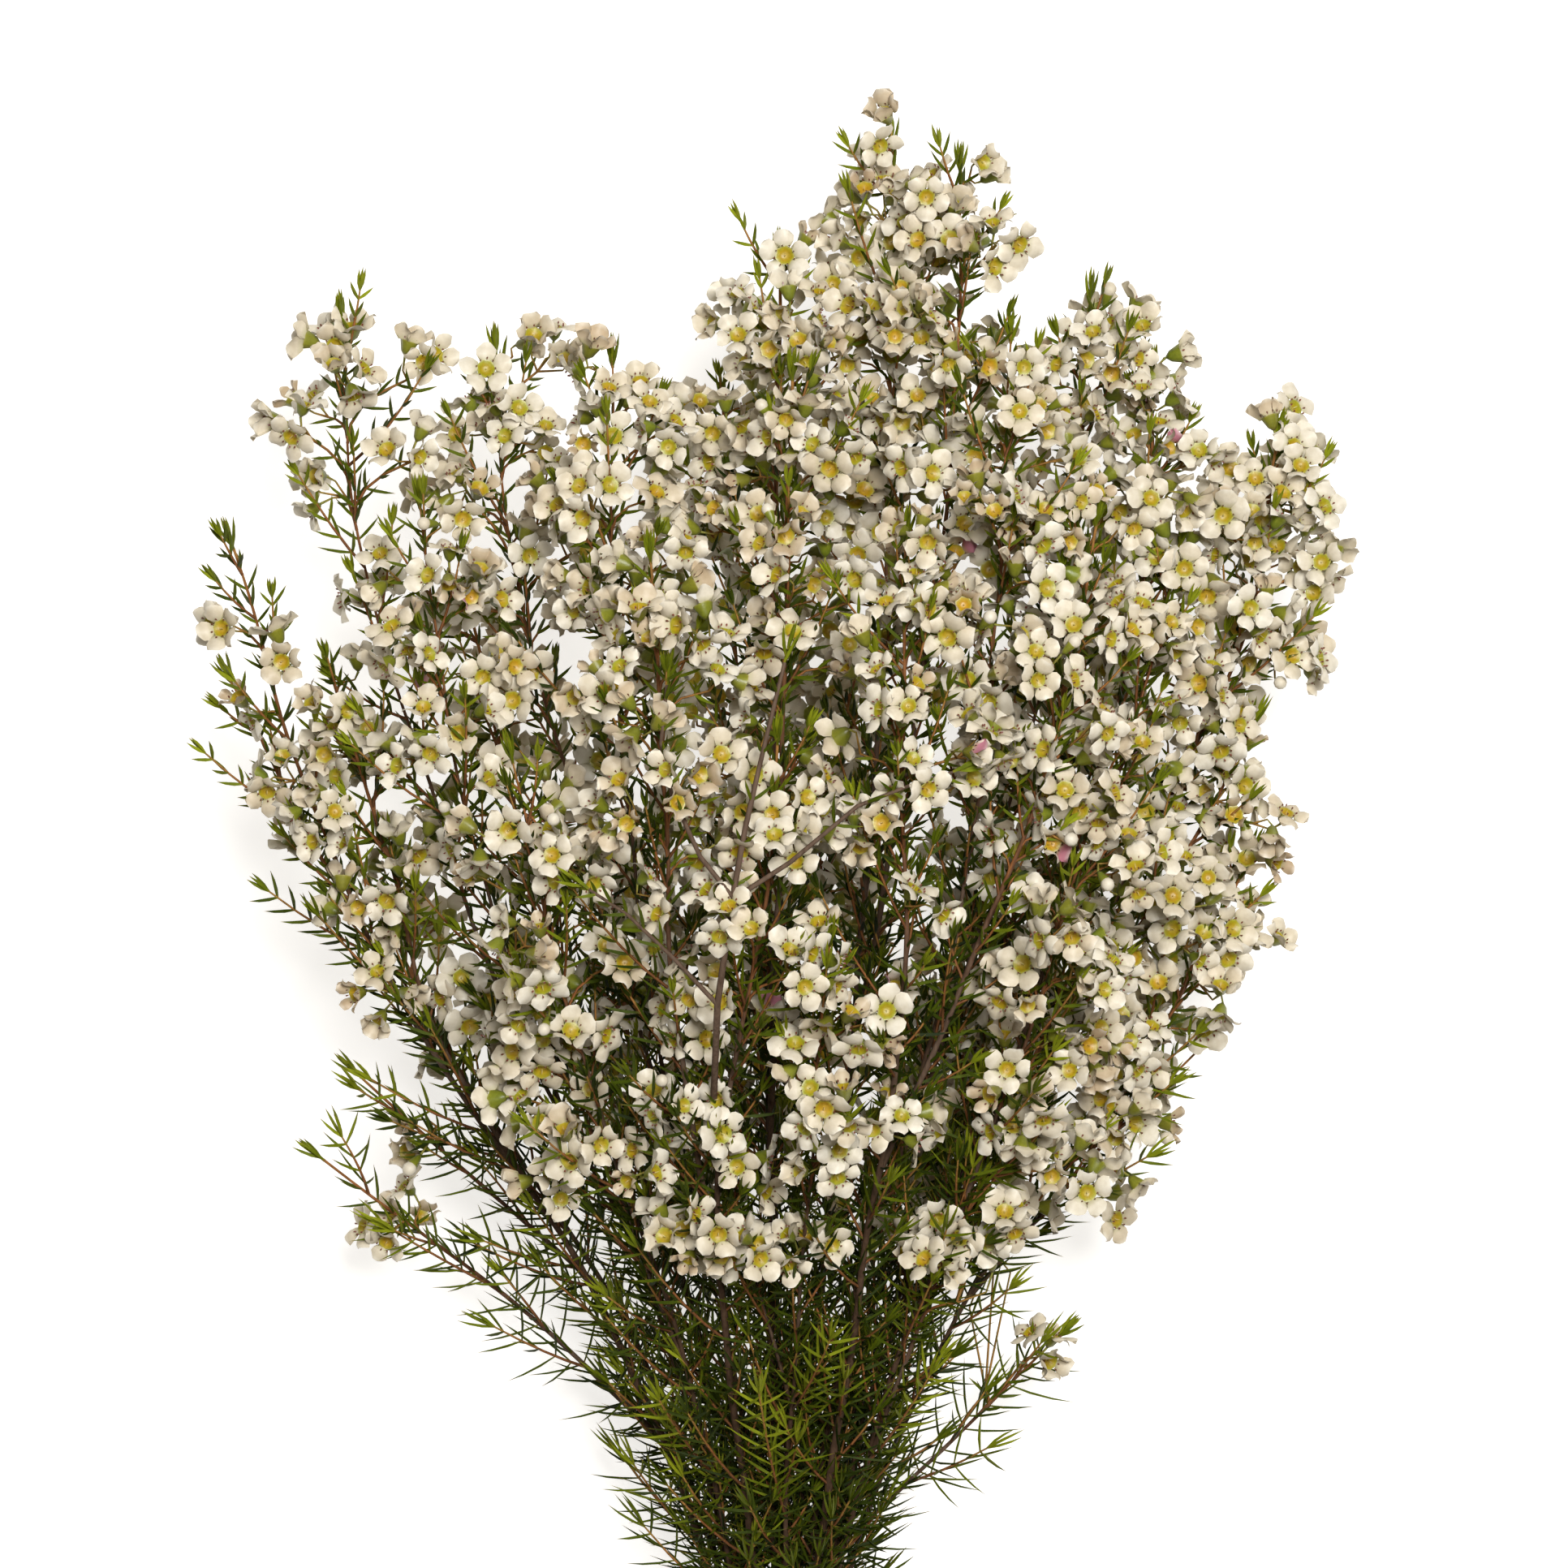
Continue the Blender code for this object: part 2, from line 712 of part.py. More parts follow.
def main():
    for old in list(bpy.data.objects):
        bpy.data.objects.remove(old)
    collection = bpy.data.collections.new("waxflower_bunch")
    bpy.context.scene.collection.children.link(collection)
    bark, petal, rubber = material(*BARK), material(*PETAL), material(*RUBBER)
    stems = {}
    for growth in grow():
        label = f"{growth.stem}_{growth.number}"
        wood = tube(f"wood_{label}", growth.branch, collection)
        leaves = [
            needle_object(f"needle_{label}_{i}", needle, collection)
            for i, needle in enumerate(growth.needles)
        ]
        stems.setdefault(growth.stem, []).extend([wood, *leaves])
        twig = tube(f"spray_{label}", growth.twig, collection)
        flowers = [
            bloom_object(f"bloom_{label}_{i}", bloom, collection)
            for i, bloom in enumerate(growth.blooms)
        ]
        fuse(twig, flowers, petal, collection)
    for name, pieces in stems.items():
        pieces[0].name = f"stem_{name}"
        fuse(pieces[0], pieces[1:], bark, collection)
    rubber_band(collection, rubber)
    centre_over_origin(collection)


main()
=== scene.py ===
"""The looks of a banded bunch of cut waxflower stems that lies on a pale floor.

The bunch is grown here by the same rule, from the same named values, as its solids were. Each
large bloom of the solids becomes a small head of life-size florets on a forked flower stalk, and
each stem gets its leafy shoots, needle pairs and smooth bark. Lengths in this file are in
millimetres, and MM turns them into Blender's metres.
"""

import logging
import math
import random
from dataclasses import dataclass, field
from enum import Enum
from functools import partial
from typing import Callable, Iterable, NamedTuple, Optional, Sequence, Union

import bpy
import numpy as np
from mathutils import Matrix, Vector
from mathutils.kdtree import KDTree


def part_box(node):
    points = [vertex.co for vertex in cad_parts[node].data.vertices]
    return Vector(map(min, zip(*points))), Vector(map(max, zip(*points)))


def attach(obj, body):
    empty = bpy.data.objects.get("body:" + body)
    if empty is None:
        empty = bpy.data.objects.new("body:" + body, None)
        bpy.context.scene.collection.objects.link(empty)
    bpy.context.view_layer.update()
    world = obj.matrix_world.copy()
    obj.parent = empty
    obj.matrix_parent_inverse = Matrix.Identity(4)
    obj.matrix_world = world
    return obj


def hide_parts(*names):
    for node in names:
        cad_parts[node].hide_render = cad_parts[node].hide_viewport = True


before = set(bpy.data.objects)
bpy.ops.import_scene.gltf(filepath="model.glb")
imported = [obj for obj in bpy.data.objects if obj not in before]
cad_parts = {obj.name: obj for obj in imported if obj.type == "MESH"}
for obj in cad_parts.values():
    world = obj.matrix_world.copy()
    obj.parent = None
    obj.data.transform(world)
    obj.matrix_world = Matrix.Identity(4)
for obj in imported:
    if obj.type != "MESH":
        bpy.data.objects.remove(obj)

LOG = logging.getLogger("waxflower_bunch")
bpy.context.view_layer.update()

MM = 0.001
SEED = 7
GOLDEN_SHARE = 0.618
GOLDEN_TURN = 2.4
SIDE_HINT = Vector((0.31, 0.87, 0.39))

# The bunch from the cut ends to the tips: place along it, half width, half height, and the
# height of its middle above the surface.
STATIONS = (
    (-335, 17, 17, 21.6),
    (-270, 17, 17, 21.6),
    (-206, 34, 27, 37),
    (-136, 62, 44, 56),
    (-76, 95, 60, 74),
    (-16, 140, 76, 90),
    (74, 180, 90, 103),
    (134, 205, 90, 103),
    (200, 215, 78, 97),
    (335, 225, 45, 86),
)
FOOT = -335
BENDS_FROM = -264
BARE_UP_TO = -236

# Stems in the neck
NECK_RADIUS = 15.2
STEM_PITCH = 6.5
PACKING_ROUNDS = 400
BAND_ALONG = -270

# Wood
FOOT_RADIUS = 2.3
BRANCH_RADIUS = 1.7
TIP_RADIUS = 0.7
WOOD_STEP = 88
TWIG_RADIUS = 1.0
TWIG_TIP_RADIUS = 0.8
TWIG_STEP = 44
TWIG_BEFORE_BLOOMS = 26
TWIG_SHORT_OF_TIP = 20

# A head of florets, as large as one bloom of the solids
PETALS = 5
HEAD_RADIUS = 14.0
NOTCH_RADIUS = 6.6
PETAL_HALF_ANGLE = math.radians(21)
PETAL_RISE = 1.8
NOTCH_DROP = 0.6
CALYX_DEPTH = 5.4
PEDICEL_LEAN = 0.85
HEAD_SPACING = 24
HEAD_TURN = math.radians(225)
LAST_HEAD_SHORT_OF_TIP = 3
SETTLES_UNDER = 7
FIRST_STALK_AFTER = 3

# The room between one piece and the next, and what a crowded piece tries in turn: how far a
# branch bows, how far apart and how far round a twig lies, and how close, how far round and how
# short a head is
GAP = 0.5
BOWS = (0, 0.06, -0.06, 0.12, -0.12, 0.2, -0.2, 0.3, -0.3)
TWIG_LAYS = [
    (apart, turn)
    for apart in (0.9, 1.6, 2.6)
    for turn in (0, 0.5, -0.5, 1.0, -1.0, 1.6, -1.6)
]
HEAD_TRIES = [
    (spacing, math.radians(nudge), short)
    for spacing in (HEAD_SPACING, 0.7 * HEAD_SPACING)
    for short in (1.0, 0.8, 1.2, 0.6)
    for nudge in (0, 14, -14, 28, -28, 45, -45, 65, -65)
]


class Spray(NamedTuple):
    """A flowering branch: its tip, the length that flowers, how far its heads stand out, their
    number, and where its branch leaves the stem, or None for the stem's own end."""

    tip: tuple[float, float, float]
    flowering: float
    spread: float
    heads: int
    fork: Optional[float]


STEMS = {
    "crown": (
        Spray((42, 322, 92), 104, 32, 6, None),
        Spray((68, 310, 114), 98, 33, 6, -20),
    ),
    "crown_left": (
        Spray((0, 280, 98), 100, 38, 7, None),
        Spray((4, 232, 144), 98, 35, 6, -80),
    ),
    "crown_right": (
        Spray((116, 264, 94), 88, 32, 6, None),
        Spray((84, 246, 146), 100, 34, 6, -60),
    ),
    "shoulder_right": (
        Spray((140, 236, 100), 92, 25, 5, None),
        Spray((148, 172, 122), 74, 24, 4, 10),
    ),
    "shoulder_left": (
        Spray((-106, 244, 94), 92, 35, 6, None),
        Spray((-62, 238, 132), 88, 37, 6, -50),
    ),
    "far_left": (
        Spray((-164, 256, 88), 66, 32, 5, None),
        Spray((-132, 186, 126), 84, 32, 6, -40),
    ),
    "left": (
        Spray((-204, 172, 90), 60, 20, 4, None),
        Spray((-206, 122, 76), 60, 15, 3, 10),
        Spray((-166, 122, 106), 80, 27, 5, -70),
    ),
    "left_low": (
        Spray((-156, 52, 88), 70, 30, 5, None),
        Spray((-158, -26, 68), 30, 9, 1, -110),
        Spray((-172, -58, 54), 20, 14, 3, -170),
    ),
    "front_left": (
        Spray((-96, 92, 166), 84, 35, 7, None),
        Spray((-94, 14, 128), 74, 31, 5, -130),
    ),
    "front_centre": (
        Spray((-46, 164, 184), 92, 36, 6, None),
        Spray((0, 98, 192), 88, 36, 6, -90),
    ),
    "front_low": (
        Spray((18, 26, 180), 74, 34, 6, None),
        Spray((-26, -34, 148), 66, 32, 6, -150),
    ),
    "front_right": (
        Spray((46, 172, 186), 92, 36, 6, None),
        Spray((116, 178, 158), 92, 35, 6, -60),
    ),
    "front_right_low": (
        Spray((118, 96, 162), 86, 35, 7, None),
        Spray((108, 16, 132), 78, 33, 6, -120),
        Spray((74, -66, 114), 46, 23, 4, -170),
    ),
    "right": (
        Spray((186, 212, 90), 92, 34, 8, None),
        Spray((176, 106, 96), 82, 32, 6, -30),
    ),
    "right_low": (
        Spray((176, 56, 84), 76, 31, 5, None),
        Spray((156, -16, 78), 64, 27, 5, -110),
        Spray((106, -126, 50), 20, 10, 2, -195),
    ),
    "under_left": (
        Spray((-118, 150, 46), 108, 32, 4, None),
        Spray((-66, 44, 30), 84, 28, 4, -110),
    ),
    "under_centre": (
        Spray((-20, 228, 46), 108, 34, 4, None),
        Spray((28, 128, 28), 98, 30, 5, -60),
    ),
    "under_right": (
        Spray((118, 158, 44), 108, 32, 4, None),
        Spray((86, 44, 30), 84, 28, 4, -110),
    ),
}


def frame_shift() -> Vector:
    """The way from the growth's origin to the frame's, read from where the band is.

    Returns:
        The shift, in millimetres.
    """
    low, high = (Vector(corner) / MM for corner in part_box("rubber_band"))
    middle = (low + high) / 2
    return Vector((middle.x, middle.y - BAND_ALONG, 0.0))


SHIFT = frame_shift()


# The shape of the bunch


def eased(places_along: np.ndarray, values: np.ndarray, along: float) -> np.ndarray:
    """A smooth curve through values at their places.

    Args:
        places_along: The places, in rising order.
        values: One row for each place.
        along: The place asked for, held within the first and the last.

    Returns:
        The row at that place.
    """
    slopes = np.gradient(values, places_along, axis=0)
    at = min(max(along, places_along[0]), places_along[-1])
    last = len(places_along) - 2
    i = int(np.clip(np.searchsorted(places_along, at) - 1, 0, last))
    span = places_along[i + 1] - places_along[i]
    t = (at - places_along[i]) / span
    return (
        (2 * t**3 - 3 * t**2 + 1) * values[i]
        + (t**3 - 2 * t**2 + t) * span * slopes[i]
        + (3 * t**2 - 2 * t**3) * values[i + 1]
        + (t**3 - t**2) * span * slopes[i + 1]
    )


def section(along: float) -> np.ndarray:
    """Half width, half height and middle height of the bunch at this place along it."""
    rows = np.array(STATIONS, float)
    return eased(rows[:, 0], rows[:, 1:], along)


def share_of(point: Vector) -> np.ndarray:
    """A point's shares of the bunch's half width and half height at its place along it."""
    half_width, half_height, middle = section(point[1])
    return np.array((point[0] / half_width, (point[2] - middle) / half_height))


def place_of(share: np.ndarray, along: float) -> Vector:
    """The point with this share of the cross-section at this place along the bunch."""
    half_width, half_height, middle = section(along)
    return Vector((share[0] * half_width, along, middle + share[1] * half_height))


def neck_shares() -> dict[str, np.ndarray]:
    """Each stem's share of the neck, on its sprays' side and clear of the other stems.

    Returns:
        The share for each stem's name.
    """
    spots = []
    for sprays in STEMS.values():
        mean = np.mean([share_of(spray.tip) for spray in sprays], axis=0)
        spots.append(mean / max(1.0, np.linalg.norm(mean)) * NECK_RADIUS)
    spots = np.array(spots)
    for _ in range(PACKING_ROUNDS):
        for i in range(len(spots)):
            for j in range(i):
                apart = spots[i] - spots[j]
                distance = max(np.linalg.norm(apart), 0.1)
                if distance < STEM_PITCH:
                    push = apart / distance * (STEM_PITCH - distance) * 0.5
                    spots[i] += push
                    spots[j] -= push
        reach = np.linalg.norm(spots, axis=1, keepdims=True)
        spots *= np.minimum(1.0, NECK_RADIUS / np.maximum(reach, 0.1))
    half_width, half_height, _ = section(BAND_ALONG)
    return dict(zip(STEMS, spots / (half_width, half_height)))


def clamped(value: float) -> float:
    """A value, held between 0 and 1."""
    return min(max(value, 0.0), 1.0)


def flat_axes(facing: Vector, spin: float) -> tuple[Vector, Vector]:
    """Two directions that are square to a facing and to each other.

    Args:
        facing: The facing, of length 1.
        spin: How far they are turned about it.

    Returns:
        The two directions.
    """
    side = facing.cross(SIDE_HINT).normalized()
    across = Matrix.Rotation(spin, 3, facing) @ side
    return across, facing.cross(across)


def places(first: float, last: float, step: float) -> list[float]:
    """Even places from first to last, no more than step apart."""
    count = max(1, math.ceil((last - first) / step))
    return [first + (last - first) * i / count for i in range(count + 1)]


# Growth: where every branch, twig and head of the solids goes


class Line:
    """A run of wood with a knot at each of its places along the bunch."""

    def __init__(
        self,
        knots: list[float],
        point_at: Callable[[float], Vector],
        radius_at: Callable[[float], float],
    ) -> None:
        """Works out the knots' points and radii.

        Args:
            knots: Its places along the bunch.
            point_at: Gives its middle at a place.
            radius_at: Gives its radius at a place.
        """
        self.knots = knots
        self.points = [point_at(along) for along in knots]
        self.radii = [radius_at(along) for along in knots]

    def point(self, along: float) -> Vector:
        """The point at this place, on the straight run between two knots."""
        return Vector([np.interp(along, self.knots, axis) for axis in zip(*self.points)])

    def radius(self, along: float) -> float:
        """The wood's radius at this place."""
        return float(np.interp(along, self.knots, self.radii))

    def tangent(self, along: float) -> Vector:
        """The way that the wood grows at this place."""
        return (self.point(along + 4) - self.point(along - 4)).normalized()

    def outward(self, along: float) -> Vector:
        """Away from the middle of the bunch, leaning to the upper side except underneath.

        Args:
            along: The place along the bunch.

        Returns:
            The way, square to the wood.
        """
        share = share_of(self.point(along))
        lean = 0.5 if share[1] > -0.35 else 0.0
        way = Vector((share[0] * 0.35, 0.0, share[1] + lean)).normalized()
        tangent = self.tangent(along)
        return (way - tangent * way.dot(tangent)).normalized()

    def rods(self) -> list[tuple[Vector, Vector, float]]:
        """The room that the wood takes."""
        return list(zip(self.points, self.points[1:], self.radii))


def branch_line(spray: Spray, start_share: np.ndarray, thick: float, bow: float) -> Line:
    """The green branch to a spray's tip, from the foot or from where it forks.

    Args:
        spray: The spray that it ends in.
        start_share: Its share of the cross-section where it starts.
        thick: Its radius there.
        bow: How far it swings aside on its way.

    Returns:
        The branch.
    """
    trunk = spray.fork is None
    start = BENDS_FROM if trunk else spray.fork
    tip, end_share = spray.tip[1], share_of(spray.tip)
    start_share = np.array(start_share)
    aside = np.array((start_share[1] - end_share[1], end_share[0] - start_share[0]))

    def reach(along: float) -> float:
        """How far along the branch this place is, from 0 to 1."""
        return clamped((along - start) / (tip - start))

    def point_at(along: float) -> Vector:
        """The branch's middle at this place.

        Args:
            along: The place along the bunch.

        Returns:
            The branch's middle there.
        """
        t = reach(along)
        bend = t * t * (3 - 2 * t) if trunk else math.sin(t * math.pi / 2)
        share = start_share * (1 - bend) + end_share * bend
        return place_of(share + aside * bow * math.sin(math.pi * t), along)

    def radius_at(along: float) -> float:
        """The branch's radius at this place."""
        return thick + (TIP_RADIUS - thick) * reach(along)

    knots = places(start, tip, WOOD_STEP)
    if trunk:
        knots.insert(0, FOOT)
    return Line(knots, point_at, radius_at)


def twig_line(spray: Spray, branch: Line, apart: float, turn: float) -> Line:
    """The line beside the branch that a spray's flower stalks start from.

    Args:
        spray: The spray.
        branch: Its green branch.
        apart: The space between the two.
        turn: How far round the branch it lies from the outer side.

    Returns:
        The line.
    """
    first = spray.tip[1] - spray.flowering - TWIG_BEFORE_BLOOMS
    last = spray.tip[1] - TWIG_SHORT_OF_TIP

    def point_at(along: float) -> Vector:
        """The line's middle at this place.

        Args:
            along: The place along the bunch.

        Returns:
            The line's middle there.
        """
        beside = branch.radius(along) + TWIG_RADIUS + apart
        turned = Matrix.Rotation(turn, 3, branch.tangent(along))
        return branch.point(along) + turned @ branch.outward(along) * beside

    def radius_at(along: float) -> float:
        """The line's radius at this place."""
        t = (along - first) / (last - first)
        return TWIG_RADIUS + (TWIG_TIP_RADIUS - TWIG_RADIUS) * t

    return Line(places(first, last, TWIG_STEP), point_at, radius_at)


class Room:
    """The space already taken up: rods with round ends, and the piece that each belongs to."""

    def __init__(self) -> None:
        """Starts empty."""
        self.rows = np.zeros((0, 8))

    def take(self, rods: list, owner: int) -> None:
        """Takes the room of these rods for their owner."""
        rows = [(*start, *end, radius, owner) for start, end, radius in rods]
        self.rows = np.vstack((self.rows, rows))

    def free(self, rods: list, owner: int) -> bool:
        """Whether these rods keep their gap to every other piece.

        Args:
            rods: The rods to test.
            owner: The number of the piece that they belong to.

        Returns:
            True if nothing is too near.
        """
        starts = np.array([start for start, _, _ in rods])
        ends = np.array([end for _, end, _ in rods])
        radii = [radius for _, _, radius in rods]
        low, high = np.minimum(starts, ends).min(0), np.maximum(starts, ends).max(0)
        reach = self.rows[:, 6:7] + max(radii) + GAP
        near = (np.minimum(self.rows[:, :3], self.rows[:, 3:6]) - reach < high).all(1)
        near &= (np.maximum(self.rows[:, :3], self.rows[:, 3:6]) + reach > low).all(1)
        near &= self.rows[:, 7] != owner
        rows = self.rows[near]
        for start, end, radius in zip(starts, ends, radii):
            distance = rod_distances(start, end, rows[:, :3], rows[:, 3:6])
            if (distance < rows[:, 6] + radius + GAP).any():
                return False
        return True


def rod_distances(
    start: np.ndarray, end: np.ndarray, starts: np.ndarray, ends: np.ndarray
) -> np.ndarray:
    """The shortest distance from one segment to each of many.

    Args:
        start: Where the segment starts.
        end: Where it ends.
        starts: Where each of the others starts.
        ends: Where each of the others ends.

    Returns:
        A distance for each of the others.
    """
    tiny = 1e-9
    run, runs, offset = end - start, ends - starts, start - starts
    a = run @ run + tiny
    e = np.einsum("ij,ij->i", runs, runs) + tiny
    b, c = runs @ run, offset @ run
    f = np.einsum("ij,ij->i", runs, offset)
    spread = np.maximum(a * e - b * b, tiny)
    s = np.clip((b * f - c * e) / spread, 0, 1)
    t = np.clip((b * s + f) / e, 0, 1)
    s = np.clip((b * t - c) / a, 0, 1)
    return np.linalg.norm(offset + s[:, None] * run - t[:, None] * runs, axis=1)


def first_with_room(makers: Iterable[Callable[[], Line]], owner: int, room: Room) -> Line:
    """Of these ways to lay a line, the first that keeps its gap to all other pieces.

    Args:
        makers: The ways to lay the line, best first.
        owner: The number of the piece that it belongs to.
        room: What the other pieces take.

    Returns:
        The line, with its room taken.
    """
    for make in makers:
        line = make()
        if room.free(line.rods(), owner):
            break
    room.take(line.rods(), owner)
    return line


class Head:
    """A head of florets, with the place and room of one large bloom."""

    def __init__(self, root: Vector, centre: Vector, facing: Vector, spin: float) -> None:
        """Sets the head in its place, and settles a low one on the surface.

        Args:
            root: Where its stalk leaves the twig.
            centre: Its middle.
            facing: The way that it faces.
            spin: How far it is turned about that way.
        """
        self.root, self.centre, self.facing = root, centre, facing.normalized()
        self.across, self.beside = flat_axes(self.facing, spin)
        lowest = self.lowest()
        if lowest < SETTLES_UNDER:
            self.centre = self.centre - Vector((0, 0, lowest))

    def rim_point(self, angle: float, radius: float, rise: float) -> Vector:
        """A point round the head's middle."""
        flat = self.across * math.cos(angle) + self.beside * math.sin(angle)
        return self.centre + flat * radius + self.facing * rise

    def lowest(self) -> float:
        """The height of the lowest point of the head's outline.

        Returns:
            The height.
        """
        heights = []
        for petal in range(PETALS):
            middle = petal * math.tau / PETALS
            for turn in (-PETAL_HALF_ANGLE, PETAL_HALF_ANGLE):
                heights.append(self.rim_point(middle + turn, HEAD_RADIUS, PETAL_RISE).z)
            notch = middle + math.pi / PETALS
            heights.append(self.rim_point(notch, NOTCH_RADIUS, -NOTCH_DROP).z)
        return min(heights)

    def rods(self) -> list[tuple[Vector, Vector, float]]:
        """The room that the head and its stalk take.

        Returns:
            The rods.
        """
        calyx = self.centre - self.facing * CALYX_DEPTH
        low, high = self.root.lerp(calyx, 0.25), self.root.lerp(calyx, 0.6)
        found = [(self.root, low, 0.8), (low, high, 1.4), (high, calyx, 2.2)]
        found.append((calyx, self.centre, 3.4))
        for petal in range(PETALS):
            middle = petal * math.tau / PETALS
            inner = self.rim_point(middle, 6.0, 0.2)
            outer = self.rim_point(middle, 10.4, 1.0)
            found.append((inner, outer, 3.9))
        return found


@dataclass
class Growth:
    """One spray as it grows.

    Attributes:
        stem: The stem's name.
        number: The spray's number on the stem.
        owner: The number under which it takes room.
        spray: Its sizes.
        branch: The line of its branch.
        twig: The line beside the branch that its stalks start from.
        heads: Its heads.
    """

    stem: str
    number: int
    owner: int
    spray: Spray
    branch: Line
    twig: Optional[Line] = None
    heads: list[Head] = field(default_factory=list)

    def grow_twig(self, room: Room) -> None:
        """Lays the line of the stalks where it has room."""
        makers = [partial(twig_line, self.spray, self.branch, *lay) for lay in TWIG_LAYS]
        self.twig = first_with_room(makers, self.owner, room)

    def grow_heads(self, room: Room, rng: random.Random) -> None:
        """Heads in a spiral round the outer side of the twig, each where it has room.

        Args:
            room: What is taken already.
            rng: Gives the draws.
        """
        spray = self.spray
        first, last = spray.tip[1] - spray.flowering, spray.tip[1] - LAST_HEAD_SHORT_OF_TIP
        for number in range(spray.heads):
            share = (number + 0.5) / spray.heads
            along = first + (last - first) * share
            turn = ((number * GOLDEN_SHARE + 0.2) % 1 - 0.5) * HEAD_TURN
            spin = rng.uniform(0, math.tau)
            shake = Vector([rng.uniform(-0.28, 0.28) for _ in range(3)])
            fullness = 0.45 + 0.6 * math.sin(math.pi * min(share + 0.08, 1))
            stand = spray.spread * fullness * rng.uniform(0.8, 1.0)
            for spacing, nudge, short in HEAD_TRIES:
                head = self.head(along, turn + nudge, stand * short, shake, spin)
                gaps = [(head.centre - other.centre).length for other in self.heads]
                uncrowded = min(gaps, default=spacing) >= spacing
                if uncrowded and head.lowest() > -0.01 and room.free(head.rods(), self.owner):
                    room.take(head.rods(), self.owner)
                    self.heads.append(head)
                    break

    def head(self, along: float, turn: float, stand: float, shake: Vector, spin: float) -> Head:
        """A head at this place, this far round the branch and this far out from it.

        Args:
            along: Its place along the bunch.
            turn: How far round the branch it is.
            stand: How far out from the branch it stands.
            shake: What is added to its facing.
            spin: How far it is turned about its facing.

        Returns:
            The head.
        """
        tangent, outward = self.branch.tangent(along), self.branch.outward(along)
        turned = Matrix.Rotation(turn, 3, tangent) @ outward
        root_along = max(along - PEDICEL_LEAN * stand, self.twig.knots[0] + FIRST_STALK_AFTER)
        facing = turned * 0.6 + tangent * 0.42 + outward * 0.45 + shake
        centre = self.twig.point(along) + turned * stand
        return Head(self.twig.point(root_along), centre, facing, spin)


def grow() -> list[Growth]:
    """Every branch, then every twig, then the heads, each in its own room.

    Returns:
        The grown sprays.
    """
    room, growths = Room(), []
    shares, rng = neck_shares(), random.Random(SEED)
    for stem_number, (stem, sprays) in enumerate(STEMS.items(), 1):
        trunk = None
        for number, spray in enumerate(sprays, 1):
            share = share_of(trunk.point(spray.fork)) if trunk else shares[stem]
            thick = min(BRANCH_RADIUS, trunk.radius(spray.fork)) if trunk else FOOT_RADIUS
            makers = [partial(branch_line, spray, share, thick, bow) for bow in BOWS]
            branch = first_with_room(makers, stem_number, room)
            trunk = trunk or branch
            growths.append(Growth(stem, number, 100 * stem_number + number, spray, branch))
    for growth in growths:
        growth.grow_twig(room)
    for growth in growths:
        growth.grow_heads(room, rng)
    return growths


# Fine growth: life-size florets, forked stalks, leafy shoots and needle pairs

FLORET_RADIUS = 9.3
FLORET_CALYX_DEPTH = 6.0
FLORET_SPACING = 12.0
FLORET_FLOOR = 7.5
SPREADING_ROUNDS = 12
WOOD_SHARES = (0.5, 0.82)
BLUSHED = 1.0
BUD_CALYX_SHARE = 0.6
PETAL_SINK = 0.15
FADED_SHARE = 0.8
LOWEST_FLORET_ALONG = -90

# Sprays with fewer florets, by their stem and number
SPARSE_SPRAYS = {
    ("far_left", 1), ("left", 1), ("left", 2), ("left_low", 2), ("left_low", 3),
    ("right_low", 2), ("right_low", 3),
}

# How much longer than its flowering length a spray carries side twigs, and how far apart
USUAL_SPRIGS = (1.45, 1.15)
UNDER_SPRIGS = (1.9, 0.78)
SPRIGS = {
    ("left_low", 1): (0.5, 1.4),
    ("left", 3): (1.0, 1.15),
    ("front_left", 2): (0.7, 1.4),
    ("front_centre", 2): (1.2, 1.5),
    ("front_left", 1): (1.2, 1.35),
    ("front_low", 1): (0.55, 1.5),
    ("front_right_low", 3): (0.5, 1.4),
    ("under_left", 2): (0.7, 1.4),
}

# Heads that the photograph shows between those of the solids: the middle and the florets of each
CLUSTERS = {
    ("far_left", 1): (((-170, 255, 94), 4), ((-131, 246, 92), 3)),
    ("far_left", 2): (((-158, 160, 96), 4),),
    ("shoulder_left", 1): (((-84, 250, 98), 4),),
    ("shoulder_right", 1): (((131, 262, 96), 3),),
    ("right", 1): (((192, 220, 92), 4),),
    ("front_right", 2): (((84, 186, 170), 5), ((106, 192, 160), 4)),
    ("front_right_low", 1): (((104, 100, 172), 4),),
    ("front_right_low", 3): (((100, -44, 112), 4),),
    ("right_low", 2): (((132, -14, 90), 5), ((126, -36, 88), 4)),
    ("right_low", 3): (((100, -126, 60), 3),),
    ("front_low", 2): (((-40, -26, 160), 5), ((-50, -52, 150), 4)),
    ("front_centre", 2): (((-34, 0, 166), 4),),
}

# Long fresh shoots near the tie: stem, place along it, length, and lean to the right
FRESH_SHOOTS = (
    ("front_low", -192, 62, -0.3),
    ("front_low", -150, 40, 0.5),
    ("front_left", -176, 40, -0.6),
    ("front_right_low", -172, 44, 0.7),
)
SHOOTS_UNDER = 226.0
FRONT_WOOD_AGE = 0.74

# The camera's height over what it is focused on, that height above the floor, and the place on
# the floor that it looks straight down on
CAMERA_DISTANCE = 2600.0
FOCUS_HEIGHT = 120.0
MIDDLE = np.array((1.8, 84.8))

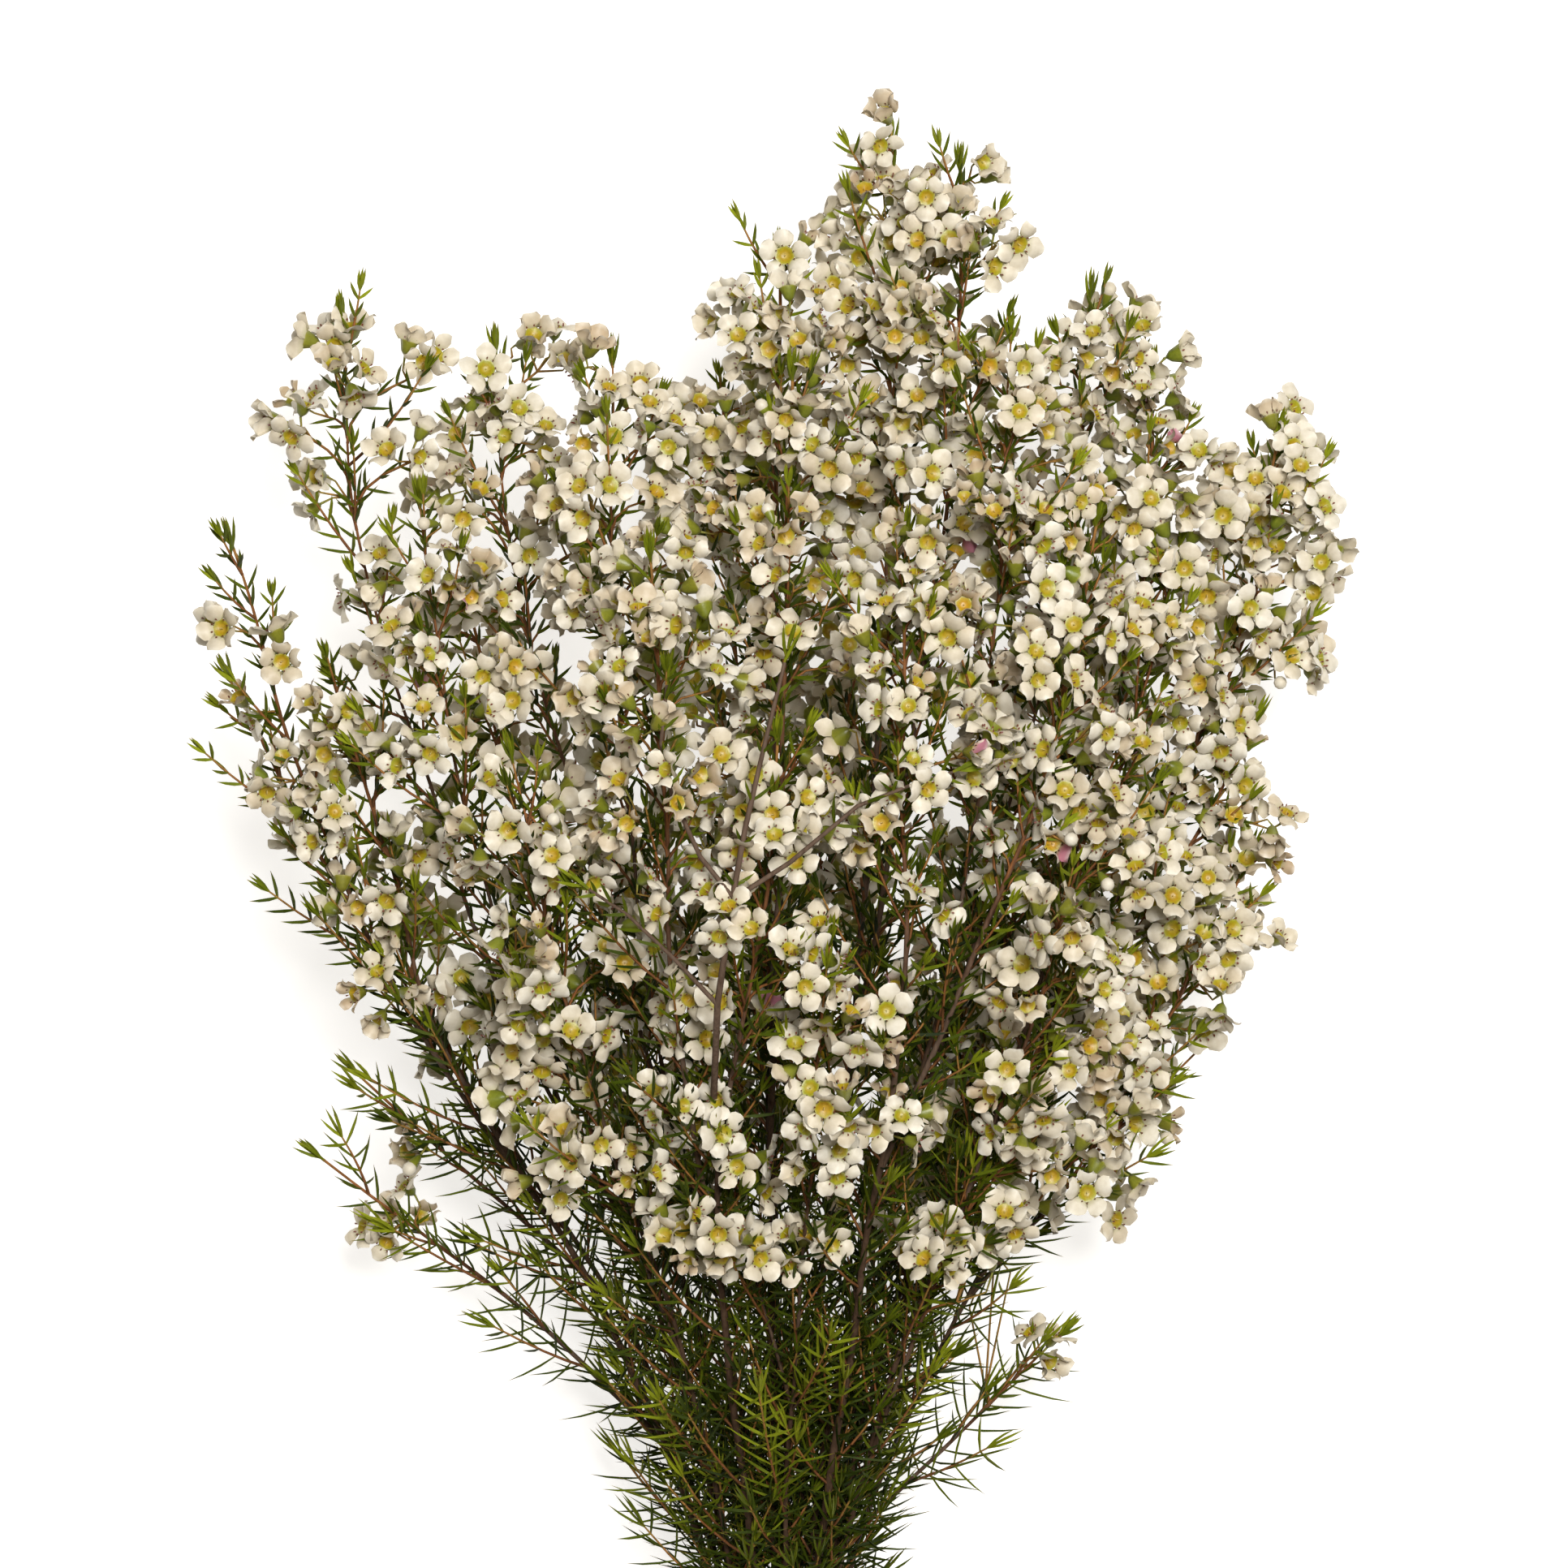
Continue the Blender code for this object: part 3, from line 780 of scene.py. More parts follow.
# The bare stem in front of the middle: the points and radii of each of its runs
FRONT_WOOD = (
    (
        (
            (-24, -34, 150), (-22, 6, 206), (-16, 47, 219),
            (-12, 69, 221), (-6, 95, 220), (2, 128, 213),
        ),
        (1.3, 1.2, 1.1, 1.0, 0.85, 0.7),
    ),
    (
        ((-16, 44, 219), (-28, 59, 220), (-38, 81, 219), (-42, 99, 216), (-40, 120, 208)),
        (0.95, 0.85, 0.8, 0.7, 0.6),
    ),
    (
        ((-16, 44, 219), (4, 57, 221), (28, 77, 219), (46, 84, 215), (62, 89, 208)),
        (0.95, 0.85, 0.75, 0.65, 0.55),
    ),
    (
        ((-22, 6, 206), (-38, 23, 210), (-54, 38, 207), (-68, 47, 200)),
        (0.9, 0.75, 0.65, 0.55),
    ),
)

# Stalks, side twigs and pedicels
STALK_FORK_DEPTH = 16.5
STALK_RADIUS = 0.62
FORK_RADIUS = 0.5
PEDICEL_RADIUS = 0.36
CALYX_FOOT_RADIUS = 0.5
SPRIG_RADII = (0.55, 0.5, 0.44, 0.4)
SPRIG_AGES = (0.42, 0.34, 0.26, 0.18)

# Needles: their length and half width low down and between the flowers, where each begins, the
# space between pairs, and the turn from one pair to the next
LOW_LEAF = 24.0
HIGH_LEAF = 11.5
LOW_LEAF_ALONG = -190
HIGH_LEAF_ALONG = 60
LOW_LEAF_WIDTH = 0.54
HIGH_LEAF_WIDTH = 0.8
PAIR_STEP = 8.0
PAIR_TURN = 1.57


class Stage(Enum):
    """How far a floret has opened, or faded."""

    OPEN = "open"
    CUPPED = "cupped"
    CLOSING = "closing"
    FADED = "faded"
    BUD = "bud"


# What share of the florets is at this stage or one above it, and the range of their tones. The
# last few are closing and blushed.
STAGES = (
    (0.38, Stage.OPEN, 0.0, 0.45),
    (0.72, Stage.CUPPED, 0.05, 0.5),
    (0.91, Stage.CLOSING, 0.2, 0.6),
    (0.97, Stage.FADED, 0.5, 0.68),
    (0.994, Stage.BUD, 0.0, 0.3),
)

# How far off the middle of a head its florets stand, by their number
FLORET_RINGS = {2: 6.5, 3: 8.5, 4: 9.8, 5: 10.8}


@dataclass
class Floret:
    """One waxflower: the middle of its disc, the way it faces, and how it looks.

    Attributes:
        centre: The middle of the disc's rim.
        facing: The way that it faces.
        fork: The point on its stalk that its pedicel starts from.
        size: Its size, where 1 is life size.
        stage: How far it has opened.
        spin: Its turn round the way that it faces.
        tone: Its colour, from fresh white at 0 to brown at 1.
        deep: Whether it is deep in the bunch, where it is modelled with fewer faces.
    """

    centre: Vector
    facing: Vector
    fork: Vector
    size: float
    stage: Stage
    spin: float
    tone: float
    deep: bool = False

    def calyx_foot(self) -> Vector:
        """The point where the pedicel meets the calyx."""
        return self.centre - self.facing * (FLORET_CALYX_DEPTH * self.size)


@dataclass
class Leaf:
    """One needle leaf.

    Attributes:
        root: Where it leaves the wood.
        way: The way that it starts off.
        length: Its length.
        lift: The way that it curves towards.
        tone: Its colour, from dark green at 0 to yellow-green at 1.
    """

    root: Vector
    way: Vector
    length: float
    lift: Vector
    tone: float


@dataclass
class Run:
    """A tapered run of wood.

    Attributes:
        points: Points along its middle.
        radii: Its radius at each of them.
        ages: Its age at each, from a green pedicel at 0 to grey bark at 1.
    """

    points: list[Vector]
    radii: Sequence[float]
    ages: Sequence[float]


@dataclass
class Plant:
    """All the fine growth of one cut stem.

    Attributes:
        name: The stem's name.
        wood_share: Its wood's thickness, as a share of the solids'.
        spray_nodes: The nodes of its sprays.
        runs: Its wood.
        leaves: Its needles.
        florets: Its florets.
    """

    name: str
    wood_share: float
    spray_nodes: list[str] = field(default_factory=list)
    runs: list[Run] = field(default_factory=list)
    leaves: list[Leaf] = field(default_factory=list)
    florets: list[Floret] = field(default_factory=list)


def shaken(way: Vector, amount: float, rng: random.Random) -> Vector:
    """A direction, shaken a little."""
    return (way + Vector([rng.uniform(-amount, amount) for _ in range(3)])).normalized()


def square_to(way: Vector, tangent: Vector) -> Vector:
    """The part of a direction that is square to a tangent."""
    return (way - tangent * way.dot(tangent)).normalized()


def arc(start: Vector, pull: Vector, end: Vector, count: int) -> list[Vector]:
    """Points on a bent run from start to end, pulled towards a third point."""
    shares = [i / (count - 1) for i in range(count)]
    return [
        start * (1 - t) ** 2 + pull * (2 * t * (1 - t)) + end * t**2 for t in shares
    ]


def wood_age(radius: float) -> float:
    """The age of wood of this radius, from 0 for a pedicel to 1 for the foot of a stem."""
    return clamped((radius - PEDICEL_RADIUS) / (BRANCH_RADIUS - PEDICEL_RADIUS))


def drawn_floret(
    centre: Vector, facing: Vector, fork: Vector, deep: bool, rng: random.Random
) -> Floret:
    """A floret with its own size, opening and colour.

    Args:
        centre: The middle of its disc.
        facing: The way that it faces.
        fork: Where its pedicel starts.
        deep: Whether it is deep in the bunch.
        rng: Gives its draws.

    Returns:
        The floret.
    """
    draw = rng.random()
    stage, tone = Stage.CLOSING, BLUSHED
    for limit, drawn, palest, darkest in STAGES:
        if draw < limit:
            stage, tone = drawn, rng.uniform(palest, darkest)
            break
    size = rng.uniform(0.85, 1.05)
    return Floret(centre, facing, fork, size, stage, rng.uniform(0, math.tau), tone, deep)


class FineGrowth:
    """The fine growth of one spray."""

    def __init__(self, growth: Growth, plant: Plant) -> None:
        """Reads the spray's branch and seeds its own draws.

        Args:
            growth: The spray of the solids.
            plant: The stem's fine growth.
        """
        self.growth, self.plant, self.branch = growth, plant, growth.branch
        self.rng = random.Random(f"{growth.stem} {growth.number}")
        self.phases = [self.rng.uniform(0, math.tau) for _ in range(4)]
        self.trunk = growth.spray.fork is None
        self.sparse = (growth.stem, growth.number) in SPARSE_SPRAYS
        self.under = growth.stem.startswith("under")
        self.first = growth.branch.knots[0]
        self.last = growth.spray.tip[1]
        self.flowers_from = self.last - growth.spray.flowering - TWIG_BEFORE_BLOOMS

    def point(self, along: float) -> Vector:
        """The branch's middle, smooth and a little wavy.

        Args:
            along: The place along the bunch.

        Returns:
            The point.
        """
        knots, points = np.array(self.branch.knots), np.array(self.branch.points)
        smooth = Vector(eased(knots, points, along))
        if along < BARE_UP_TO:
            return smooth
        fade = min(1.0, (along - max(self.first, BARE_UP_TO)) / 30)
        swing = math.sin(along / 13 + self.phases[0]) + math.sin(along / 29 + self.phases[1])
        sway = math.sin(along / 17 + self.phases[2]) + math.sin(along / 37 + self.phases[3])
        return smooth + Vector((swing * 0.5, 0, sway * 0.5)) * fade

    def tangent(self, along: float) -> Vector:
        """The way that the branch grows at this place."""
        return (self.point(along + 3) - self.point(along - 3)).normalized()

    def grow(self) -> None:
        """Grows the branch, its heads, its sprigs, its shoots and its needles."""
        self.grow_branch()
        for head in self.growth.heads:
            self.grow_head(head)
        self.grow_clusters()
        self.grow_sprigs()
        self.grow_pairs()
        self.grow_shoots()
        self.grow_fresh_shoots()
        self.grow_front_wood()
        self.grow_tip()

    def grow_branch(self) -> None:
        """The branch itself, with small swellings where leaves have grown."""
        spots = places(self.first, self.last, 9)
        radii = [self.branch.radius(along) * self.plant.wood_share for along in spots]
        swollen = [r * (1.08 if i % 2 else 0.94) for i, r in enumerate(radii)]
        ages = [wood_age(self.branch.radius(along)) for along in spots]
        self.plant.runs.append(Run([self.point(a) for a in spots], swollen, ages))

    def facing_up(self, facing: Vector, share: float) -> Vector:
        """A floret's facing, turned a share towards the upper side unless it is underneath.

        Args:
            facing: The way that the floret faces.
            share: How far it is turned.

        Returns:
            The way that it faces then.
        """
        low = self.last < -20
        lift = share + (1.4 if low else 0.5) * max(0.0, (0.5 if low else 0.1) - facing.z)
        return facing if self.under else (facing + Vector((0, 0, lift))).normalized()

    def grow_head(self, head: Head) -> None:
        """The forked stalk of one head of the solids.

        Args:
            head: The head of the solids.
        """
        back = max(head.root.y, self.first + 4)
        counts = (2, 3) if self.sparse else (3, 4, 4, 5)
        axes = (head.facing, head.across, head.beside)
        self.cluster(back, head.centre, axes, counts)

    def grow_clusters(self) -> None:
        """The heads that the photograph shows between those of the solids."""
        for place, count in CLUSTERS.get((self.growth.stem, self.growth.number), ()):
            centre = Vector(place)
            back = min(max(centre.y - 34, self.first + 6), self.last - 4)
            facing = ((centre - self.point(back)).normalized() + Vector((0, 0, 0.8))).normalized()
            across = facing.orthogonal().normalized()
            lowest = min(LOWEST_FLORET_ALONG, centre.y - 15)
            self.cluster(back, centre, (facing, across, facing.cross(across)), (count,), lowest)

    def cluster(
        self,
        back: float,
        centre: Vector,
        axes: tuple[Vector, Vector, Vector],
        counts: tuple[int, ...],
        lowest: float = LOWEST_FLORET_ALONG,
    ) -> None:
        """A forked stalk with a few florets and its small leaves.

        Args:
            back: Where its stalk leaves the branch.
            centre: The middle of its florets.
            axes: The way that it faces, and its two flat directions.
            counts: The numbers of florets to draw from.
            lowest: How near the tie its florets may come.
        """
        rng, (ahead, across, beside) = self.rng, axes
        root = self.point(back)
        fork = centre - ahead * STALK_FORK_DEPTH
        reach = (fork - root).length
        pull = root + self.tangent(back) * reach * 0.45
        points = arc(root, pull, fork, 5)
        radii = [STALK_RADIUS + (FORK_RADIUS - STALK_RADIUS) * i / 4 for i in range(5)]
        ages = [0.46 - 0.26 * i / 4 for i in range(5)]
        self.plant.runs.append(Run(points, radii, ages))
        self.leaves_along(points, 0.2, max(2, round(reach / 9)), HIGH_LEAF, 0.6)
        count = rng.choice(counts)
        middle = count == 5
        spin = rng.uniform(0, math.tau)
        out = FLORET_RINGS[count]
        for number in range(count - middle):
            angle = spin + number * math.tau / (count - middle) + rng.uniform(-0.35, 0.35)
            radial = across * math.cos(angle) + beside * math.sin(angle)
            spot = centre + radial * out * rng.uniform(0.8, 1.1) + ahead * rng.uniform(-8.0, 1.5)
            spot.y = max(spot.y, lowest + rng.uniform(0, 8))
            facing = self.facing_up((ahead + radial * 1.1).normalized(), 0.08)
            self.add_floret(spot, shaken(facing, 0.68, rng), fork)
        if middle:
            spot = centre + ahead * rng.uniform(0.0, 3.0)
            self.add_floret(spot, shaken(self.facing_up(ahead, 0.15), 0.6, rng), fork)

    def grow_sprigs(self) -> None:
        """Short leafy side twigs with one to three florets, all round the branch."""
        if self.sparse:
            return
        rng = self.rng
        usual = UNDER_SPRIGS if self.under else USUAL_SPRIGS
        longer, closer = SPRIGS.get((self.growth.stem, self.growth.number), usual)
        first = max(self.first + 6, self.last - self.growth.spray.flowering * longer)
        along, number = first + rng.uniform(0, 6), rng.randrange(6)
        while along < self.last + 4:
            tangent = self.tangent(min(along, self.last - 3))
            outward = square_to(self.branch.outward(along), tangent)
            turn = number * GOLDEN_TURN + rng.uniform(-0.4, 0.4)
            turned = Matrix.Rotation(turn, 3, tangent) @ outward
            if self.under:
                turned = Vector((turned.x * 1.9, turned.y, turned.z * 0.8))
            late = clamped((along - first) / (self.last - first))
            stand = self.growth.spray.spread * (0.35 + 0.5 * math.sin(math.pi * late))
            stand = max(stand * rng.uniform(0.55, 1.05), 7)
            root = self.point(min(along, self.last) - stand * 0.55)
            end = self.point(min(along, self.last)) + turned * max(stand - 6, 3)
            if end.z > 6 and end.y > LOWEST_FLORET_ALONG:
                self.sprig(root, end, turned, tangent, outward)
            along += rng.uniform(8.5, 13) * closer
            number += 1

    def sprig(
        self, root: Vector, end: Vector, turned: Vector, tangent: Vector, outward: Vector
    ) -> None:
        """One leafy side twig with its florets.

        Args:
            root: Where it leaves the branch.
            end: Where its pedicels part.
            turned: The way that it leans out.
            tangent: The way that the branch grows.
            outward: Away from the middle of the bunch.
        """
        rng = self.rng
        reach = (end - root).length
        points = arc(root, root + tangent * reach * 0.5, end, 4)
        self.plant.runs.append(Run(points, SPRIG_RADII, SPRIG_AGES))
        self.leaves_along(points, 0.3, max(1, round(reach / 9)), HIGH_LEAF * 0.9, 0.65)
        way = (turned + tangent * 0.6 + outward * 0.4).normalized()
        count = rng.choice((1, 1, 2, 2, 3))
        side = way.orthogonal().normalized()
        spin = rng.uniform(0, math.tau)
        for number in range(count):
            angle = spin + number * math.tau / count
            radial = Matrix.Rotation(angle, 3, way) @ side
            out = 0.0 if count == 1 else 7.2
            centre = end + way * rng.uniform(7, 12) + radial * out
            facing = self.facing_up((way + radial * 1.0).normalized(), 0.15)
            self.add_floret(centre, shaken(facing, 0.65, rng), end)

    def add_floret(self, centre: Vector, facing: Vector, fork: Vector) -> None:
        """Adds a floret with its own size, opening and colour."""
        drawn = drawn_floret(centre, facing, fork, self.under, self.rng)
        self.plant.florets.append(drawn)

    def leaf_length(self, along: float) -> float:
        """The length of a needle here: long low down, short between the flowers."""
        share = (along - LOW_LEAF_ALONG) / (HIGH_LEAF_ALONG - LOW_LEAF_ALONG)
        return LOW_LEAF + (HIGH_LEAF - LOW_LEAF) * clamped(share)

    def grow_pairs(self) -> None:
        """Opposite pairs of needles along the branch, each pair square to the last."""
        rng = self.rng
        start = BARE_UP_TO if self.trunk else self.first + 8
        along, number = start + rng.uniform(0, PAIR_STEP), 0
        while along < self.last - 6:
            t = clamped((along - BARE_UP_TO) / (self.last - BARE_UP_TO))
            length = self.leaf_length(along) * rng.uniform(0.85, 1.15)
            turn, tone, opening = number * PAIR_TURN, 0.06 + 0.5 * t, 0.8 + 0.045 * length
            self.pair(self.point(along), self.tangent(along), length, turn, tone, opening)
            along += PAIR_STEP * rng.uniform(0.75, 1.25) * (0.5 if along < -70 else 1.0)
            number += 1

    def pair(
        self, root: Vector, tangent: Vector, length: float, turn: float, tone: float, opening: float
    ) -> None:
        """Two needles on opposite sides.

        Args:
            root: Where they leave the wood.
            tangent: The way that the wood grows.
            length: Their length.
            turn: How far round the wood the first is.
            tone: Their colour.
            opening: How far they open from the wood.
        """
        side = square_to(Vector((0.3, 0.1, 0.95)), tangent)
        for half in (0.0, math.pi):
            nudge = self.rng.uniform(-0.35, 0.35)
            turned = Matrix.Rotation(turn + half + nudge, 3, tangent) @ side
            way = (tangent + turned * opening * self.rng.uniform(0.7, 1.5)).normalized()
            if root.z + way.z * length < 1.0:
                way = Vector((way.x, way.y, abs(way.z) * 0.3)).normalized()
            tinted = clamped(tone + self.rng.uniform(-0.12, 0.15))
            grown = length * self.rng.uniform(0.85, 1.1)
            self.plant.leaves.append(Leaf(root, way, grown, tangent, tinted))

    def leaves_along(
        self, points: list[Vector], first: float, pairs: int, length: float, tone: float
    ) -> None:
        """Pairs of needles along a short run.

        Args:
            points: The run's points.
            first: Where the pairs start, as a share of the run.
            pairs: Their number.
            length: The needles' length.
            tone: Their colour at the last pair.
        """
        turn = self.rng.uniform(0, math.pi)
        for number in range(pairs):
            share = first + (1.0 - first) * (number + 0.5) / pairs
            at = share * (len(points) - 1)
            i = min(int(at), len(points) - 2)
            root = points[i].lerp(points[i + 1], at - i)
            tangent = (points[i + 1] - points[i]).normalized()
            grown = length * (1.1 - 0.35 * share) * self.rng.uniform(0.85, 1.15)
            shade, opening = tone * (0.6 + 0.4 * share), 0.75 + 0.035 * length
            self.pair(root, tangent, grown, turn + number * PAIR_TURN, shade, opening)

    def shoot(
        self,
        along: float,
        turned: Vector,
        reach: float,
        length: float,
        tone: float,
        step: float = 6.2,
    ) -> None:
        """A leafy side shoot.

        Args:
            along: Where it leaves the branch.
            turned: The way that it leans out.
            reach: Its own length.
            length: Its needles' length.
            tone: Its needles' colour at its tip.
            step: From one pair of needles to the next.
        """
        rng, tangent, root = self.rng, self.tangent(along), self.point(along)
        way = (tangent + turned * rng.uniform(0.6, 1.2)).normalized()
        end = root + way * reach + tangent * reach * 0.3
        end.z = min(end.z, SHOOTS_UNDER)
        if end.z < 4:
            end.z = 4 + rng.uniform(0, 4)
        points = arc(root, root + way * reach * 0.55, end, 5)
        radii = [0.62, 0.55, 0.48, 0.42, 0.34]
        ages = [0.5, 0.42, 0.34, 0.24, 0.12]
        self.plant.runs.append(Run(points, radii, ages))
        self.leaves_along(points, 0.1, max(3, round(reach / step)), length, tone)
        tip_way = (points[-1] - points[-2]).normalized()
        for turn in (0.0, PAIR_TURN):
            self.pair(points[-1], tip_way, length * 0.75, turn, min(1.0, tone + 0.25), 0.35)

    def grow_shoots(self) -> None:
        """Leafy side shoots: long low down, short and fresh between the flowers."""
        rng = self.rng
        closer = 0.7 if self.under else 1.0
        start = BARE_UP_TO if self.trunk else self.first + 10
        along, number = start + rng.uniform(0, 8), rng.randrange(6)
        while along < self.last - 8:
            flowering = along > self.flowers_from or self.sparse
            tangent = self.tangent(along)
            outward = square_to(self.branch.outward(along), tangent)
            turned = Matrix.Rotation(number * GOLDEN_TURN, 3, tangent) @ outward
            length = self.leaf_length(along)
            if flowering:
                reach, tone = rng.uniform(24, 42), rng.uniform(0.35, 0.95)
                reach *= 0.55 if along > self.last - 40 else 1.0
                rise = 0.0 if self.under else 1.1
                turned = (turned + Vector((0, 0, rise))).normalized()
            else:
                reach, tone = rng.uniform(18, 38), rng.choice((0.1, 0.2, 0.3, 0.4, 0.75))
                reach *= 1 - 0.4 * turned.x
                length *= 0.9
            self.shoot(along, turned, reach, length, tone)
            along += rng.uniform(15, 24) if flowering else rng.uniform(8, 13) * closer
            number += 1

    def grow_fresh_shoots(self) -> None:
        """The long fresh shoots that some front stems carry near the tie."""
        for stem, along, reach, lean in FRESH_SHOOTS:
            if self.trunk and stem == self.growth.stem:
                self.shoot(along, Vector((lean, 0, 1)).normalized(), reach, 19.0, 0.9, 3.6)

    def grow_front_wood(self) -> None:
        """The bare forked stem that crosses in front of the middle flowers."""
        if self.growth.stem != "front_centre" or self.trunk:
            return
        for places_along, radii in FRONT_WOOD:
            points = [Vector(place) for place in places_along]
            self.plant.runs.append(Run(points, radii, [FRONT_WOOD_AGE] * len(radii)))
            self.leaves_along(points, 0.35, 5, HIGH_LEAF, 0.6)
            way = (points[-1] - points[-2]).normalized()
            for number in range(3):
                spot = points[-1] + way * (number * 2.5)
                self.pair(spot, way, HIGH_LEAF, number * PAIR_TURN, 0.8, 0.55 - 0.12 * number)

    def grow_tip(self) -> None:
        """The fresh tuft at the branch's tip."""
        tangent, root = self.tangent(self.last - 3), self.point(self.last)
        end = root + tangent * 5
        points = [root, root.lerp(end, 0.5), end]
        self.plant.runs.append(Run(points, [0.6, 0.45, 0.3], [0.2, 0.12, 0.05]))
        for number in range(4):
            spot = root.lerp(end, number / 3)
            length = HIGH_LEAF * (1.1 - 0.1 * number)
            tone, opening = 0.7 + 0.08 * number, 0.5 - 0.1 * number
            self.pair(spot, tangent, length, number * PAIR_TURN, tone, opening)


def spread_florets(plants: list[Plant]) -> None:
    """Moves florets apart where they would grow through each other, and up off the floor.

    Args:
        plants: The fine growth of every stem.
    """
    florets = [floret for plant in plants for floret in plant.florets]
    centres = np.array([floret.centre for floret in florets])
    for _ in range(SPREADING_ROUNDS):
        apart = centres[:, None, :] - centres[None, :, :]
        distance = np.linalg.norm(apart, axis=2) + np.eye(len(centres)) * 1e6
        near = np.maximum(FLORET_SPACING - distance, 0) / np.maximum(distance, 0.1)
        centres += (apart * near[:, :, None]).sum(1) * 0.3
        centres[:, 2] = np.maximum(centres[:, 2], FLORET_FLOOR)
    for floret, centre in zip(florets, centres):
        floret.centre = Vector(centre)
        tilt = math.sqrt(max(0.0, 1 - floret.facing.z**2))
        lowest = floret.centre.z - FLORET_RADIUS * tilt - 1.0 + min(0, floret.facing.z) * 5
        if lowest < 0.2:
            floret.centre.z += 0.2 - lowest


@dataclass
class DeepFlorets:
    """Florets on short twigs deep in the bunch, where no other floret hides what is behind.

    Attributes:
        plants: The fine growth of every stem.
        wood: Points along every branch, each with the plant that it belongs to.
        step: The spacing of the places that are tried.
        free: How far a gap is from the nearest floret.
        ring: How far off the florets round a gap may be.
        sectors: The sectors round a gap that all have a floret.
        twig: How far off a gap's wood may show.
        above: How far a floret stands above its wood, and the wood under the florets around.
        lowest: The least height of a floret.
        open_places: Boxes that keep their gaps.
    """

    plants: list[Plant]
    wood: list[tuple[Vector, Plant]]
    step: float = 6.0
    free: float = 7.6
    ring: float = 34.0
    sectors: int = 8
    twig: float = 22.0
    above: float = 8.0
    lowest: float = 14.0
    open_places: tuple = (((-400, -400), (-70, 400)), ((-400, -400), (400, -70)))

    def __post_init__(self) -> None:
        """Notes where the florets show and where the wood is."""
        self.rng = random.Random("deep florets")
        self.wood_places = np.array([place for place, _ in self.wood])
        self.wood_shown = self.shown(self.wood_places)
        centres = np.array([floret.centre for plant in self.plants for floret in plant.florets])
        self.seen = [tuple(place) for place in self.shown(centres)]
        self.heights = [float(height) for height in centres[:, 2]]

    @staticmethod
    def shown(places: np.ndarray) -> np.ndarray:
        """Where places show, at the photograph's scale, as the camera looks down."""
        reach = CAMERA_DISTANCE / (CAMERA_DISTANCE + FOCUS_HEIGHT - places[:, 2:3])
        return MIDDLE + (places[:, :2] - MIDDLE) * reach

    def fill(self) -> None:
        """Goes over a grid and adds a floret in each gap that blooms surround."""
        seen = np.array(self.seen)
        low, high = seen.min(axis=0), seen.max(axis=0)
        cells = [
            (x, y)
            for x in np.arange(low[0], high[0], self.step)
            for y in np.arange(low[1], high[1], self.step)
        ]
        self.rng.shuffle(cells)
        for x, y in cells:
            if not any(a <= x <= c and b <= y <= d for (a, b), (c, d) in self.open_places):
                self.try_cell(np.array((x, y)))

    def try_cell(self, cell: np.ndarray) -> None:
        """Adds a floret that shows at this place, if it is a gap inside the bunch.

        Args:
            cell: The place, as it shows.
        """
        offsets = np.array(self.seen) - cell
        distance = np.hypot(offsets[:, 0], offsets[:, 1])
        if distance.min() < self.free:
            return
        near = distance < self.ring
        angles = np.arctan2(offsets[near, 1], offsets[near, 0])
        if len(set(np.floor(angles / (math.tau / self.sectors)))) < self.sectors:
            return
        offsets = self.wood_shown - cell
        close = np.hypot(offsets[:, 0], offsets[:, 1]) < self.twig
        around = np.array(self.heights)[near].mean()
        under = close & (self.wood_places[:, 2] < around - self.above)
        if not under.any():
            return
        height = max(float(self.wood_places[under, 2].min()) + self.above, self.lowest)
        reach = (CAMERA_DISTANCE + FOCUS_HEIGHT - height) / CAMERA_DISTANCE
        place = MIDDLE + (cell - MIDDLE) * reach
        self.add(Vector((*place, height)))
        self.seen.append(tuple(cell))
        self.heights.append(height)

    def add(self, centre: Vector) -> None:
        """Adds a floret on a twig from the nearest wood.

        Args:
            centre: The middle of the floret's disc.
        """
        rng = self.rng
        behind = np.array(centre) - (0, 16, 9)
        root, plant = self.wood[np.linalg.norm(self.wood_places - behind, axis=1).argmin()]
        fork = centre - Vector((0, 5, 8))
        reach = (fork - root).length
        points = arc(root, root + Vector((0, reach * 0.35, 0)), fork, 4)
        plant.runs.append(Run(points, SPRIG_RADII, SPRIG_AGES))
        facing = shaken(Vector((0, 0.15, 1)), 0.55, rng)
        plant.florets.append(drawn_floret(centre, facing, fork, True, rng))


def grow_plants(growths: list[Growth]) -> list[Plant]:
    """The fine growth of every stem.

    Args:
        growths: The sprays of the solids.

    Returns:
        A plant for each stem.
    """
    plants: dict[str, Plant] = {}
    wood: list[tuple[Vector, Plant]] = []
    for growth in growths:
        share = random.Random(f"{growth.stem} wood").uniform(*WOOD_SHARES)
        plant = plants.setdefault(growth.stem, Plant(growth.stem, share))
        plant.spray_nodes.append(f"spray_{growth.stem}_{growth.number}")
        fine = FineGrowth(growth, plant)
        fine.grow()
        wood += [(fine.point(along), plant) for along in places(fine.first + 6, fine.last - 4, 8)]
    found = list(plants.values())
    DeepFlorets(found, wood).fill()
    spread_florets(found)
    for plant in found:
        for floret in plant.florets:
            foot = floret.calyx_foot()
            reach = (foot - floret.fork).length
            pull = foot - floret.facing * reach * 0.5
            radii = [FORK_RADIUS * 0.9, PEDICEL_RADIUS, CALYX_FOOT_RADIUS]
            plant.runs.append(Run(arc(floret.fork, pull, foot, 3), radii, [0.2, 0.08, 0.0]))
    return found


# Meshes


def deselect_all() -> None:
    """Leaves edit mode and selects nothing."""
    if bpy.context.object and bpy.context.object.mode != "OBJECT":
        bpy.ops.object.mode_set(mode="OBJECT")
    bpy.ops.object.select_all(action="DESELECT")


